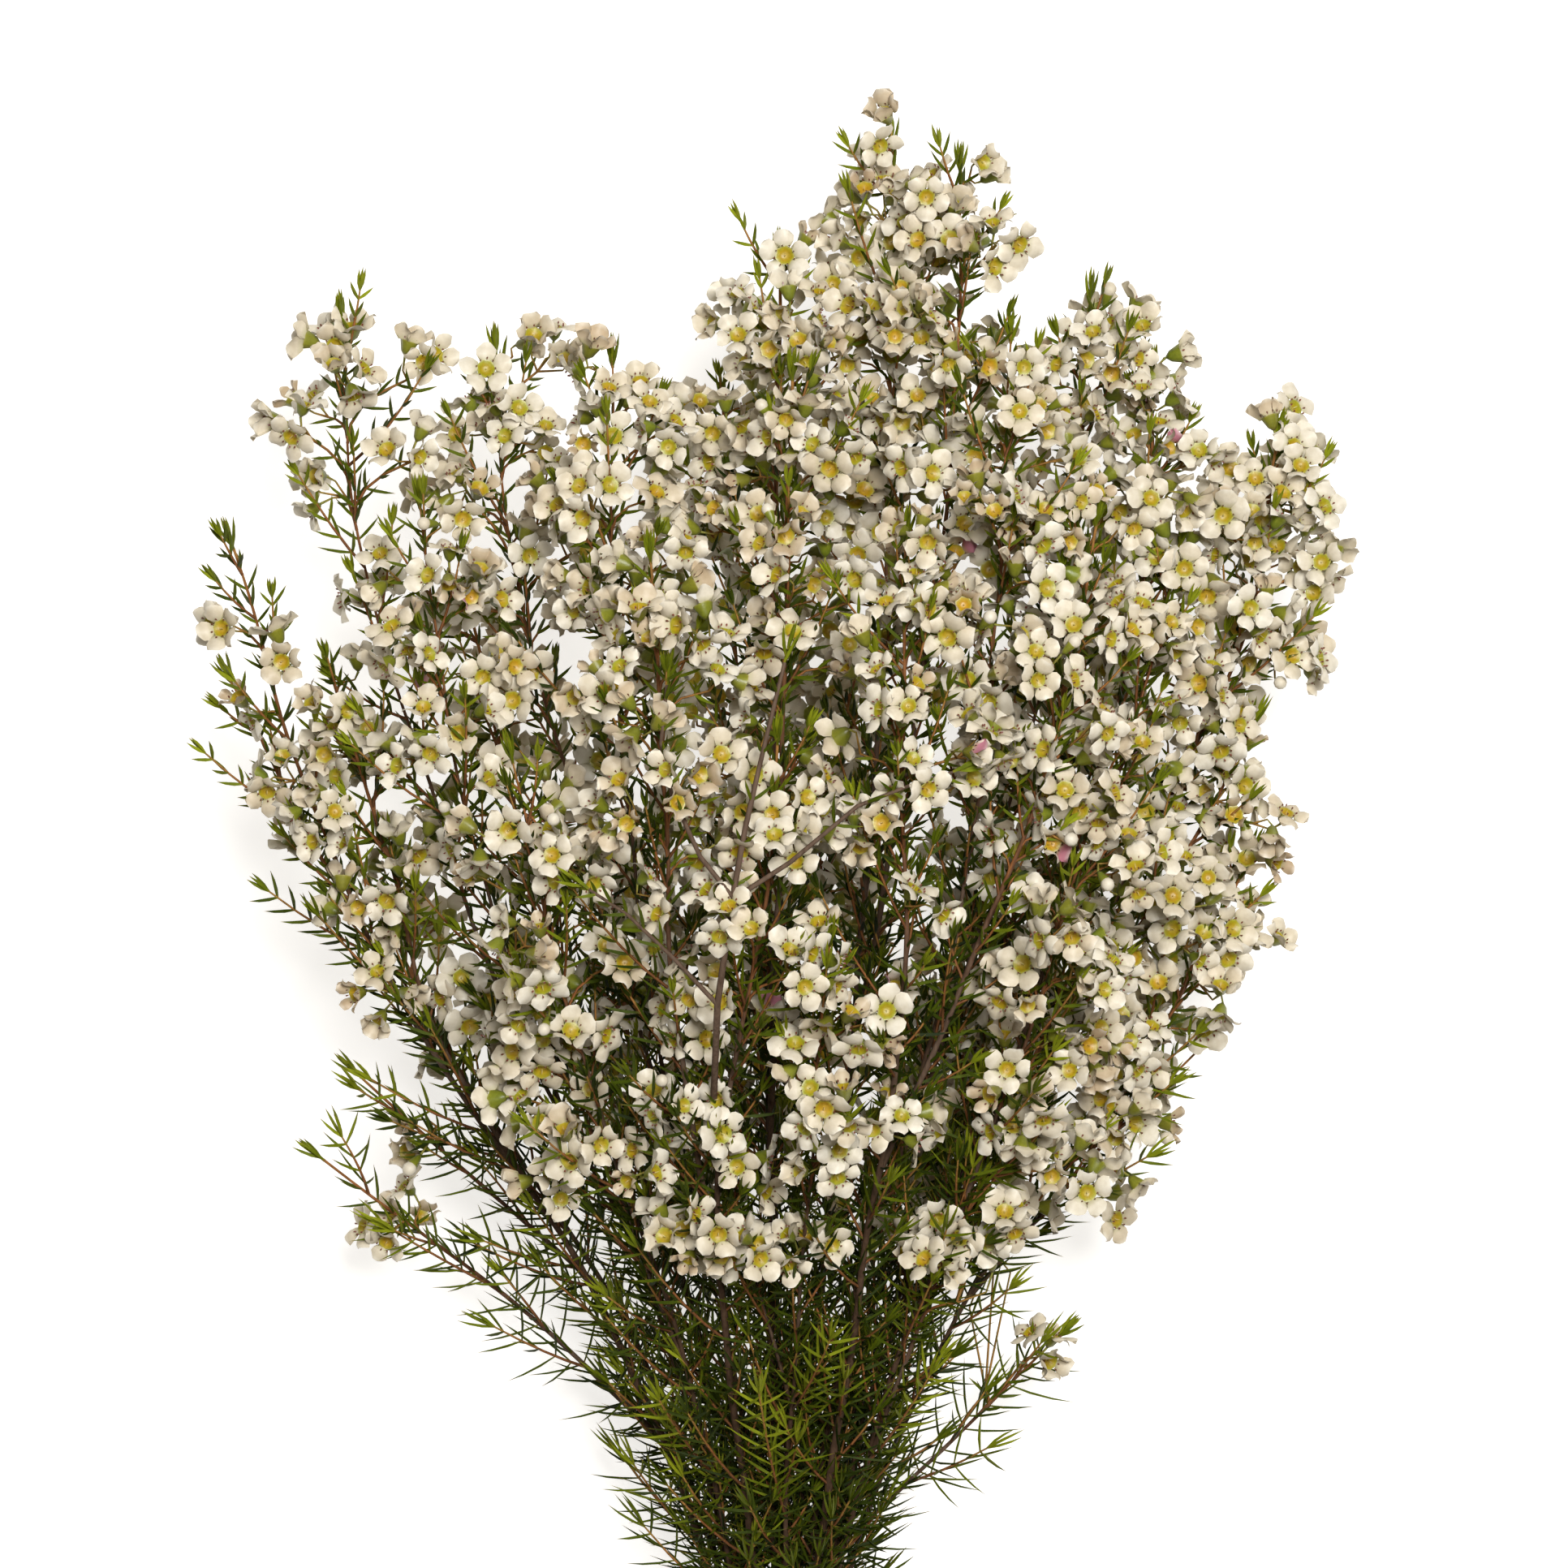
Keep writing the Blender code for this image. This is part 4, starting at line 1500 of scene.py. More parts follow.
def edit_all() -> None:
    """Enters edit mode and selects all of the mesh."""
    bpy.ops.object.mode_set(mode="EDIT")
    bpy.ops.mesh.select_all(action="SELECT")


@dataclass
class Pattern:
    """A shape that is modelled once and copied many times.

    Attributes:
        points: Its points, in millimetres.
        faces: The corners of its faces.
        along: A value at each point, for its material.
    """

    points: np.ndarray
    faces: list[tuple[int, ...]]
    along: np.ndarray

    @classmethod
    def from_object(
        cls, made: bpy.types.Object, along: Callable[[np.ndarray], np.ndarray]
    ) -> "Pattern":
        """Reads an object's mesh and removes the object.

        Args:
            made: The modelled shape.
            along: Gives the value at each point from its place.

        Returns:
            The pattern.
        """
        mesh = made.data
        points = np.array([vertex.co[:] for vertex in mesh.vertices])
        faces = []
        for face in mesh.polygons:
            corners = tuple(face.vertices)
            first = corners.index(min(corners))
            faces.append(corners[first:] + corners[:first])
        bpy.data.objects.remove(made)
        bpy.data.meshes.remove(mesh)
        return cls(points, sorted(faces), along(points))


class PieceMesh:
    """Collects copies of patterns into one mesh."""

    def __init__(self) -> None:
        """Starts empty."""
        self.points: list[np.ndarray] = []
        self.faces: list[tuple[int, ...]] = []
        self.along: list[np.ndarray] = []
        self.tone: list[np.ndarray] = []
        self.count = 0

    def add(self, pattern: Pattern, points: np.ndarray, tone: float) -> None:
        """Adds one copy of a pattern.

        Args:
            pattern: The pattern.
            points: The copy's points.
            tone: The copy's colour value.
        """
        start = self.count
        self.points.append(points)
        self.faces.extend(tuple(corner + start for corner in face) for face in pattern.faces)
        self.along.append(pattern.along)
        self.tone.append(np.full(len(points), tone))
        self.count += len(points)

    def finish(self, name: str) -> bpy.types.Object:
        """Makes the object.

        Args:
            name: Its name.

        Returns:
            The object, at the origin, with its place in its mesh.
        """
        mesh = bpy.data.meshes.new(name)
        points = (np.vstack(self.points) + np.array(SHIFT)) * MM
        mesh.from_pydata(points.tolist(), [], self.faces)
        for label, values in (("along", self.along), ("tone", self.tone)):
            attribute = mesh.attributes.new(label, "FLOAT", "POINT")
            attribute.data.foreach_set("value", np.concatenate(values).astype(np.float32))
        mesh.shade_smooth()
        mesh.set_sharp_from_angle(angle=math.radians(70))
        mesh.update()
        made = bpy.data.objects.new(name, mesh)
        bpy.context.scene.collection.objects.link(made)
        return made


@dataclass
class PetalPattern:
    """A round, cupped petal with a narrow base.

    Attributes:
        length: From the disc's rim to the tip.
        width: Its greatest width.
        cup: How far its sides and tip rise.
        skew: How far its tip leans aside and its edge turns over.
        thickness: Its thickness in the middle.
        columns: The faces across it.
        rows: The faces along it.
    """

    length: float = 6.9
    width: float = 8.5
    cup: float = 2.7
    skew: float = 0.0
    thickness: float = 0.22
    columns: int = 4
    rows: int = 3

    def shaped(self, u: float, v: float) -> tuple[float, float, float]:
        """The place of a point of the flat grid.

        Args:
            u: Across the petal, from -1 to 1.
            v: Along the petal, from 0 to 1.

        Returns:
            The point.
        """
        half = 0.5 * self.width * float(np.interp(v, (0, 0.33, 0.67, 1), (0.58, 0.93, 1.0, 0.66)))
        y = self.length * (v - 0.16 * abs(u) ** 2.8 * v * v)
        rise = self.cup * (0.75 * u * u * (0.25 + 0.75 * v) + 0.35 * v * v - 0.25 * v)
        rise += self.skew * u * v * v
        return (u * half + self.skew * 0.8 * v * v, y, rise)

    def make(self) -> Pattern:
        """Shapes a grid, and closes it with a copy whose middle is lower.

        Returns:
            The pattern: +Y from base to tip, +Z towards the viewer.
        """
        deselect_all()
        bpy.ops.mesh.primitive_grid_add(
            x_subdivisions=self.columns, y_subdivisions=self.rows, size=2
        )
        made = bpy.context.object
        inner = [
            vertex.index
            for vertex in made.data.vertices
            if max(abs(vertex.co.x), abs(vertex.co.y)) < 0.99
        ]
        for vertex in made.data.vertices:
            vertex.co = self.shaped(vertex.co.x, (vertex.co.y + 1) / 2)
        edit_all()
        bpy.ops.mesh.duplicate()
        bpy.ops.mesh.flip_normals()
        bpy.ops.object.mode_set(mode="OBJECT")
        count = len(made.data.vertices) // 2
        for index in inner:
            made.data.vertices[index + count].co.z -= self.thickness
        edit_all()
        bpy.ops.mesh.remove_doubles(threshold=0.001)
        bpy.ops.object.mode_set(mode="OBJECT")
        return Pattern.from_object(made, lambda points: np.clip(points[:, 1] / self.length, 0, 1))


@dataclass
class TurnedPattern:
    """A shape that is turned from rings.

    Attributes:
        rings: Radius, height and colour value of each ring, from the foot on.
        sides: Its sides.
    """

    rings: tuple[tuple[float, float, float], ...]
    sides: int = 3

    def make(self) -> Pattern:
        """Extrudes a circle ring by ring and draws the last one together.

        Returns:
            The pattern, with +Z from its foot on.
        """
        deselect_all()
        radius, height, _ = self.rings[0]
        bpy.ops.mesh.primitive_circle_add(
            vertices=self.sides, radius=radius, location=(0, 0, height), fill_type="NGON"
        )
        made = bpy.context.object
        bpy.ops.object.transform_apply(location=True, rotation=False, scale=False)
        edit_all()
        for (before, low, _), (after, high, _) in zip(self.rings, self.rings[1:]):
            bpy.ops.mesh.extrude_region_move(TRANSFORM_OT_translate={"value": (0, 0, high - low)})
            scale = after / before
            bpy.ops.transform.resize(value=(scale, scale, 1), center_override=(0, 0, high))
        bpy.ops.mesh.merge(type="CENTER")
        bpy.ops.mesh.select_all(action="SELECT")
        bpy.ops.mesh.normals_make_consistent(inside=False)
        bpy.ops.object.mode_set(mode="OBJECT")
        return Pattern.from_object(made, self.values)

    def values(self, points: np.ndarray) -> np.ndarray:
        """The colour value of the ring that each point is on."""
        radii, heights, values = np.array(self.rings).T
        spans = np.hypot(points[:, 0], points[:, 1])[:, None] - radii
        return values[np.argmin(np.hypot(spans, points[:, 2][:, None] - heights), axis=1)]


@dataclass
class HeartPattern(TurnedPattern):
    """A floret's calyx and its dished disc with a short style. Its rim is round the origin."""

    rings: tuple[tuple[float, float, float], ...] = (
        (0.5, -6.0, 0.0),
        (2.1, -4.4, 0.12),
        (3.75, -0.1, 0.34),
        (3.0, -0.2, 0.44),
        (1.9, -1.7, 0.56),
        (0.3, -1.6, 0.58),
        (0.06, 1.4, 0.72),
    )
    sides: int = 7


@dataclass
class StamenPattern(TurnedPattern):
    """A stamen: a thin filament that widens into an anther."""

    rings: tuple[tuple[float, float, float], ...] = (
        (0.13, 0.0, 0.82),
        (0.42, 1.2, 1.0),
        (0.05, 1.7, 1.0),
    )


@dataclass
class NeedlePattern(TurnedPattern):
    """A three-sided needle of unit length and unit half width, drawn to a point."""

    rings: tuple[tuple[float, float, float], ...] = (
        (0.6, 0.0, 0.0),
        (1.0, 1 / 3, 1 / 3),
        (0.8, 2 / 3, 2 / 3),
        (0.02, 1.0, 1.0),
    )


@dataclass
class BudPattern:
    """A round bud on its calyx.

    Attributes:
        radius: Its radius.
    """

    radius: float = 2.7

    def make(self) -> Pattern:
        """Models the bud from a ball that is drawn in a little where its petals meet.

        Returns:
            The pattern, with its foot near the origin and +Z up.
        """
        deselect_all()
        bpy.ops.mesh.primitive_uv_sphere_add(
            segments=10, ring_count=6, radius=self.radius, location=(0, 0, self.radius * 0.55)
        )
        made = bpy.context.object
        bpy.ops.object.transform_apply(location=True, rotation=False, scale=False)
        for vertex in made.data.vertices:
            angle = math.atan2(vertex.co.y, vertex.co.x)
            share = vertex.co.z / self.radius
            draw = 1 + 0.05 * math.cos(PETALS * angle) * max(0, share)
            vertex.co.x *= draw
            vertex.co.y *= draw
        return Pattern.from_object(made, lambda points: 0.35 + 0.2 * points[:, 2] / self.radius)


# Finishes


Socket = bpy.types.NodeSocket
Given = Union[Socket, "Ramp", str, tuple, float]
BLACK = (0.0, 0.0, 0.0)


class NodeTree:
    """A short way to add and join nodes."""

    def __init__(self, tree: bpy.types.NodeTree) -> None:
        """Takes a material's tree, or a node group, to add nodes to."""
        self.nodes, self.link = tree.nodes, tree.links.new

    def give(self, socket: Socket, given: Given) -> None:
        """Joins an input to what is given for it, or sets it to that.

        Args:
            socket: The input.
            given: A node's output, a ramp, an attribute's name, a colour or a number.
        """
        if isinstance(given, Ramp):
            given = given.place(self)
        elif isinstance(given, str):
            given = self.attribute(given)
        if isinstance(given, Socket):
            self.link(given, socket)
        elif isinstance(given, tuple) and len(socket.default_value) == 4:
            socket.default_value = (*given, 1.0)
        else:
            socket.default_value = given

    def attribute(self, name: str) -> Socket:
        """The value of one of the piece's attributes.

        Args:
            name: The attribute's name.

        Returns:
            The socket of the value.
        """
        node = self.nodes.new("ShaderNodeAttribute")
        node.attribute_name = name
        return node.outputs["Fac"]

    def noise(self, scale: Given, detail: float = 3.0, stretch: Given = (1, 1, 1)) -> Socket:
        """Noise over the piece, whose grains are 1/scale metres across.

        Args:
            scale: How fine it is.
            detail: How much finer noise is added to it.
            stretch: How much finer it is along each axis.

        Returns:
            The socket of the noise.
        """
        place, mapping = (self.nodes.new(f"ShaderNode{kind}") for kind in ("TexCoord", "Mapping"))
        node = self.nodes.new("ShaderNodeTexNoise")
        self.give(mapping.inputs["Scale"], stretch)
        self.give(node.inputs["Scale"], scale)
        self.give(node.inputs["Detail"], detail)
        self.link(place.outputs["Object"], mapping.inputs["Vector"])
        self.link(mapping.outputs["Vector"], node.inputs["Vector"])
        return node.outputs["Fac"]

    def ramp(self, value: Socket, stops: tuple) -> Socket:
        """A colour for each value.

        Args:
            value: The value.
            stops: The places and their colours.

        Returns:
            The socket of the colour.
        """
        node = self.nodes.new("ShaderNodeValToRGB")
        elements = node.color_ramp.elements
        while len(elements) < len(stops):
            elements.new(0.5)
        for element, (place, colour) in zip(elements, stops):
            element.position = place
            element.color = (*colour, 1.0)
        self.link(value, node.inputs["Fac"])
        return node.outputs["Color"]

    def mix(self, share: Given, first: Given, second: Given, blend: str = "MIX") -> Socket:
        """Two colours mixed by a share.

        Args:
            share: The share of the second colour.
            first: The first colour.
            second: The second colour.
            blend: How they are mixed.

        Returns:
            The socket of the mixed colour.
        """
        node = self.nodes.new("ShaderNodeMix")
        node.data_type = "RGBA"
        node.blend_type = blend
        for number, given in ((0, share), (6, first), (7, second)):
            self.give(node.inputs[number], given)
        return node.outputs[2]

    def maths(self, operation: str, first: Given, second: Given) -> Socket:
        """One sum of two values, held between 0 and 1.

        Args:
            operation: What is done.
            first: The first value.
            second: The second value.

        Returns:
            The socket of the result.
        """
        node = self.nodes.new("ShaderNodeMath")
        node.operation = operation
        node.use_clamp = True
        for socket, given in zip(node.inputs, (first, second)):
            self.give(socket, given)
        return node.outputs[0]


@dataclass(frozen=True)
class Ramp:
    """Colours for the values of an attribute, or of a noise where there is no attribute.

    Attributes:
        attribute: The attribute's name, or nothing.
        stops: The places and their colours.
        noise: The noise's scale, detail and stretch.
        shift: How much of the noise is added to the attribute.
    """

    attribute: str
    stops: tuple[tuple[float, tuple[float, float, float]], ...]
    noise: tuple = ()
    shift: float = 0.0

    def place(self, tree: NodeTree) -> Socket:
        """Adds the ramp to a material.

        Args:
            tree: The material's tree.

        Returns:
            The socket of the colour.
        """
        noise = tree.noise(*self.noise) if self.noise else None
        value = tree.attribute(self.attribute) if self.attribute else noise
        if self.shift:
            value = tree.maths("ADD", value, tree.maths("MULTIPLY", noise, self.shift))
        return tree.ramp(value, self.stops)


def mottle_group() -> bpy.types.NodeTree:
    """The effect that the finishes share: blotches that shade a colour, and a grain's height.

    Returns:
        The node group.
    """
    group = bpy.data.node_groups.new("mottle", "ShaderNodeTree")
    for way, name, kind in (
        ("INPUT", "Colour", "Color"),
        ("INPUT", "Shade", "Color"),
        ("INPUT", "Light", "Color"),
        ("INPUT", "Blotch Scale", "Float"),
        ("INPUT", "Grain Scale", "Float"),
        ("INPUT", "Stretch", "Vector"),
        ("OUTPUT", "Colour", "Color"),
        ("OUTPUT", "Height", "Float"),
    ):
        group.interface.new_socket(name, in_out=way, socket_type=f"NodeSocket{kind}")
    tree = NodeTree(group)
    given = tree.nodes.new("NodeGroupInput").outputs
    result = tree.nodes.new("NodeGroupOutput").inputs
    spread = tree.nodes.new("ShaderNodeMapRange")
    tree.give(spread.inputs["From Min"], 0.32)
    tree.give(spread.inputs["From Max"], 0.68)
    tree.give(spread.inputs["Value"], tree.noise(given["Blotch Scale"], 3.0, given["Stretch"]))
    tint = tree.mix(spread.outputs["Result"], given["Shade"], given["Light"])
    tree.link(tree.mix(1.0, given["Colour"], tint, "MULTIPLY"), result["Colour"])
    tree.link(tree.noise(given["Grain Scale"], 2.0, given["Stretch"]), result["Height"])
    return group


@dataclass(frozen=True)
class Mottle:
    """One finish's own values for the shared mottle.

    Attributes:
        shade: What a colour is multiplied by in the dark blotches.
        light: What it is multiplied by in the light ones.
        blotches: Blotches to a metre.
        grains: Grains to a metre.
        stretch: How much finer both are along each axis.
    """

    shade: tuple[float, float, float]
    light: tuple[float, float, float]
    blotches: float
    grains: float
    stretch: tuple[float, float, float] = (1.0, 1.0, 1.0)

    def place(self, tree: NodeTree, colour: Socket) -> tuple[Socket, Socket]:
        """Adds the shared group to a material.

        Args:
            tree: The material's tree.
            colour: The colour to shade.

        Returns:
            The shaded colour and the grain's height.
        """
        node = tree.nodes.new("ShaderNodeGroup")
        node.node_tree = bpy.data.node_groups.get("mottle") or mottle_group()
        for name, given in (
            ("Colour", colour),
            ("Shade", self.shade),
            ("Light", self.light),
            ("Blotch Scale", self.blotches),
            ("Grain Scale", self.grains),
            ("Stretch", self.stretch),
        ):
            tree.give(node.inputs[name], given)
        return node.outputs["Colour"], node.outputs["Height"]


@dataclass(frozen=True)
class Finish:
    """A material: a colour that the mottle shades, over a fine grain.

    Attributes:
        name: The material's name.
        base: Its colours.
        layers: What is mixed over them: each layer's shares, and its colour or colours.
        mottle: Its mottle, or None for a plain colour.
        dust: The scale and detail of the grain where there is no mottle.
        grain: How much of the grain shows, and how far it stands out, in metres.
        roughness: The shader's roughness.
        specular: The shader's level of reflection.
        glow: How brightly it shines in its own colour.
    """

    name: str
    base: Ramp
    layers: tuple[tuple[Given, Given], ...] = ()
    mottle: Optional[Mottle] = None
    dust: tuple = ()
    grain: tuple[float, float] = (0.3, 0.0002)
    roughness: float = 0.5
    specular: float = 0.5
    glow: float = 0.0

    def material(self) -> bpy.types.Material:
        """The material, which is made when it is first asked for."""
        return bpy.data.materials.get(self.name) or self.make()

    def make(self) -> bpy.types.Material:
        """Makes the material.

        Returns:
            The material.
        """
        material = bpy.data.materials.new(self.name)
        material.use_nodes = True
        tree = NodeTree(material.node_tree)
        tree.nodes.clear()
        shader = tree.nodes.new("ShaderNodeBsdfPrincipled")
        output = tree.nodes.new("ShaderNodeOutputMaterial")
        tree.link(shader.outputs["BSDF"], output.inputs["Surface"])
        colour, height = self.base.place(tree), None
        for share, other in self.layers:
            colour = tree.mix(share, colour, other)
        if self.mottle:
            colour, height = self.mottle.place(tree, colour)
        elif self.dust:
            height = tree.noise(*self.dust)
        if height is not None:
            bump = tree.nodes.new("ShaderNodeBump")
            for name, given in zip(("Strength", "Distance", "Height"), (*self.grain, height)):
                tree.give(bump.inputs[name], given)
            tree.link(bump.outputs["Normal"], shader.inputs["Normal"])
        if self.glow:
            tree.give(shader.inputs["Emission Color"], colour)
            tree.give(shader.inputs["Emission Strength"], self.glow)
        tree.give(shader.inputs["Base Color"], colour)
        tree.give(shader.inputs["Roughness"], self.roughness)
        tree.give(shader.inputs["Specular IOR Level"], self.specular)
        return material


@dataclass(frozen=True)
class PetalFinish(Finish):
    """Waxy ivory petals that fade through cream and rose-beige to brown, with painted light on
    their tips.
    """

    name: str = "waxy_petal"
    base: Ramp = Ramp(
        "tone",
        (
            (0.0, (0.71, 0.66, 0.55)),
            (0.4, (0.63, 0.555, 0.42)),
            (0.62, (0.51, 0.40, 0.265)),
            (0.85, (0.29, 0.19, 0.11)),
            (1.0, (0.50, 0.20, 0.26)),
        ),
    )
    layers: tuple[tuple[Given, Given], ...] = (
        (Ramp("along", ((0.0, (0.8,) * 3), (0.35, BLACK), (1.0, BLACK))), (0.42, 0.39, 0.21)),
        # Painted light: the tips are painted paler, for the light that shines through the thin
        # petal edges.
        (Ramp("along", ((0.0, BLACK), (0.72, BLACK), (1.0, (0.45,) * 3))), (0.86, 0.83, 0.75)),
    )
    mottle: Mottle = Mottle((0.90, 0.88, 0.84), (1.0, 1.0, 1.0), 420, 1500)
    grain: tuple[float, float] = (0.25, 0.0002)
    roughness: float = 0.42
    specular: float = 0.24


OLD_HEART = Ramp(
    "along",
    (
        (0.0, (0.14, 0.10, 0.02)),
        (0.12, (0.19, 0.18, 0.018)),
        (0.31, (0.23, 0.215, 0.018)),
        (0.36, (0.42, 0.36, 0.10)),
        (0.44, (0.44, 0.31, 0.010)),
        (0.56, (0.46, 0.25, 0.007)),
        (0.72, (0.50, 0.36, 0.16)),
        (0.82, (0.50, 0.36, 0.24)),
        (0.95, (0.12, 0.035, 0.02)),
    ),
)


@dataclass(frozen=True)
class HeartFinish(Finish):
    """Green calyx, yellow-green rim, golden dish, and dark red anthers, which go brown."""

    name: str = "flower_heart"
    base: Ramp = Ramp(
        "along",
        (
            (0.0, (0.10, 0.12, 0.012)),
            (0.12, (0.145, 0.18, 0.012)),
            (0.31, (0.19, 0.215, 0.014)),
            (0.36, (0.36, 0.34, 0.09)),
            (0.44, (0.33, 0.32, 0.010)),
            (0.56, (0.37, 0.28, 0.008)),
            (0.72, (0.62, 0.60, 0.30)),
            (0.82, (0.72, 0.66, 0.52)),
            (0.95, (0.20, 0.05, 0.03)),
        ),
    )
    layers: tuple[tuple[Given, Given], ...] = (("tone", OLD_HEART),)
    mottle: Mottle = Mottle((0.80, 0.80, 0.78), (1.0, 1.0, 1.0), 900, 2200)
    roughness: float = 0.4


@dataclass(frozen=True)
class LeafFinish(Finish):
    """Needle leaves, dark low down and yellow-green at the tips, with browned ends."""

    name: str = "needle_leaf"
    base: Ramp = Ramp(
        "tone",
        (
            (0.0, (0.012, 0.020, 0.003)),
            (0.4, (0.044, 0.062, 0.003)),
            (0.75, (0.125, 0.150, 0.006)),
            (1.0, (0.23, 0.255, 0.012)),
        ),
    )
    layers: tuple[tuple[Given, Given], ...] = (
        (
            Ramp("along", ((0.0, (0.5,) * 3), (0.15, BLACK), (0.8, BLACK), (1.0, (0.8,) * 3))),
            (0.28, 0.19, 0.03),
        ),
    )
    mottle: Mottle = Mottle((0.78, 0.80, 0.78), (1.1, 1.1, 1.05), 300, 1800)
    grain: tuple[float, float] = (0.2, 0.0002)
    roughness: float = 0.55
    specular: float = 0.07


@dataclass(frozen=True)
class BarkFinish(Finish):
    """Bark: grey-brown on old wood, red-brown on young wood, and green on pedicels."""

    name: str = "bark"
    base: Ramp = Ramp(
        "age",
        (
            (0.05, (0.26, 0.29, 0.06)),
            (0.2, (0.35, 0.19, 0.045)),
            (0.38, (0.27, 0.105, 0.032)),
            (0.65, (0.110, 0.052, 0.026)),
            (0.8, (0.120, 0.078, 0.053)),
            (0.92, (0.095, 0.058, 0.036)),
            (1.0, (0.080, 0.046, 0.027)),
        ),
        (700, 4.0, (1.0, 0.12, 1.0)),
        0.12,
    )
    mottle: Mottle = Mottle((0.62, 0.60, 0.58), (1.1, 1.1, 1.1), 700, 900, (1.0, 0.12, 1.0))
    grain: tuple[float, float] = (0.5, 0.0004)
    roughness: float = 0.7
    specular: float = 0.12


@dataclass(frozen=True)
class CutFinish(Finish):
    """Pale fresh wood on the cut ends, with a darker pith and rim."""

    name: str = "cut_wood"
    base: Ramp = Ramp(
        "along",
        (
            (0.0, (0.42, 0.33, 0.18)),
            (0.2, (0.62, 0.55, 0.34)),
            (0.8, (0.58, 0.52, 0.30)),
            (1.0, (0.25, 0.22, 0.10)),
        ),
    )
    mottle: Mottle = Mottle((0.8, 0.8, 0.8), (1.0, 1.0, 1.0), 2500, 3000)
    roughness: float = 0.8


@dataclass(frozen=True)
class RubberFinish(Finish):
    """Tan rubber with a soft sheen and fine dust."""

    name: str = "tan_rubber"
    base: Ramp = Ramp("", ((0.3, (0.45, 0.26, 0.11)), (0.7, (0.58, 0.37, 0.18))), (350, 5.0))
    dust: tuple = (2500, 3.0)
    grain: tuple[float, float] = (0.2, 0.0002)
    roughness: float = 0.55


@dataclass(frozen=True)
class FloorFinish(Finish):
    """A plain pale floor, whose glow stands for the light that a white room throws back."""

    name: str = "pale_floor"
    base: Ramp = Ramp("", ((0.3, (0.51, 0.50, 0.485)), (0.7, (0.53, 0.52, 0.505))), (3.0,))
    roughness: float = 0.9
    glow: float = 1.42


# Pieces


@dataclass
class Patterns:
    """The shapes that repeat, each modelled once."""

    petals: tuple[Pattern, ...]
    deep_petal: Pattern
    heart: Pattern
    stamen: Pattern
    bud: Pattern
    needle: Pattern


def dress(piece: bpy.types.Object, finish: Finish) -> None:
    """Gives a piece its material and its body.

    Args:
        piece: The piece.
        finish: Its material.
    """
    piece.data.materials.clear()
    piece.data.materials.append(finish.material())
    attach(piece, "root")


def joined(parts: list[bpy.types.Object], name: str) -> bpy.types.Object:
    """Makes objects into one smooth mesh.

    Args:
        parts: The objects.
        name: The name of the object and its mesh.

    Returns:
        The object.
    """
    deselect_all()
    for part in parts:
        part.select_set(True)
    bpy.context.view_layer.objects.active = parts[0]
    bpy.ops.object.convert(target="MESH")
    bpy.ops.object.join()
    made = bpy.context.object
    made.name = made.data.name = name
    made.data.shade_smooth()
    return made


def floret_axes(floret: Floret) -> tuple[np.ndarray, np.ndarray, np.ndarray]:
    """A floret's two flat directions and the way that it faces."""
    across, beside = flat_axes(floret.facing, floret.spin)
    return np.array(across), np.array(beside), np.array(floret.facing)


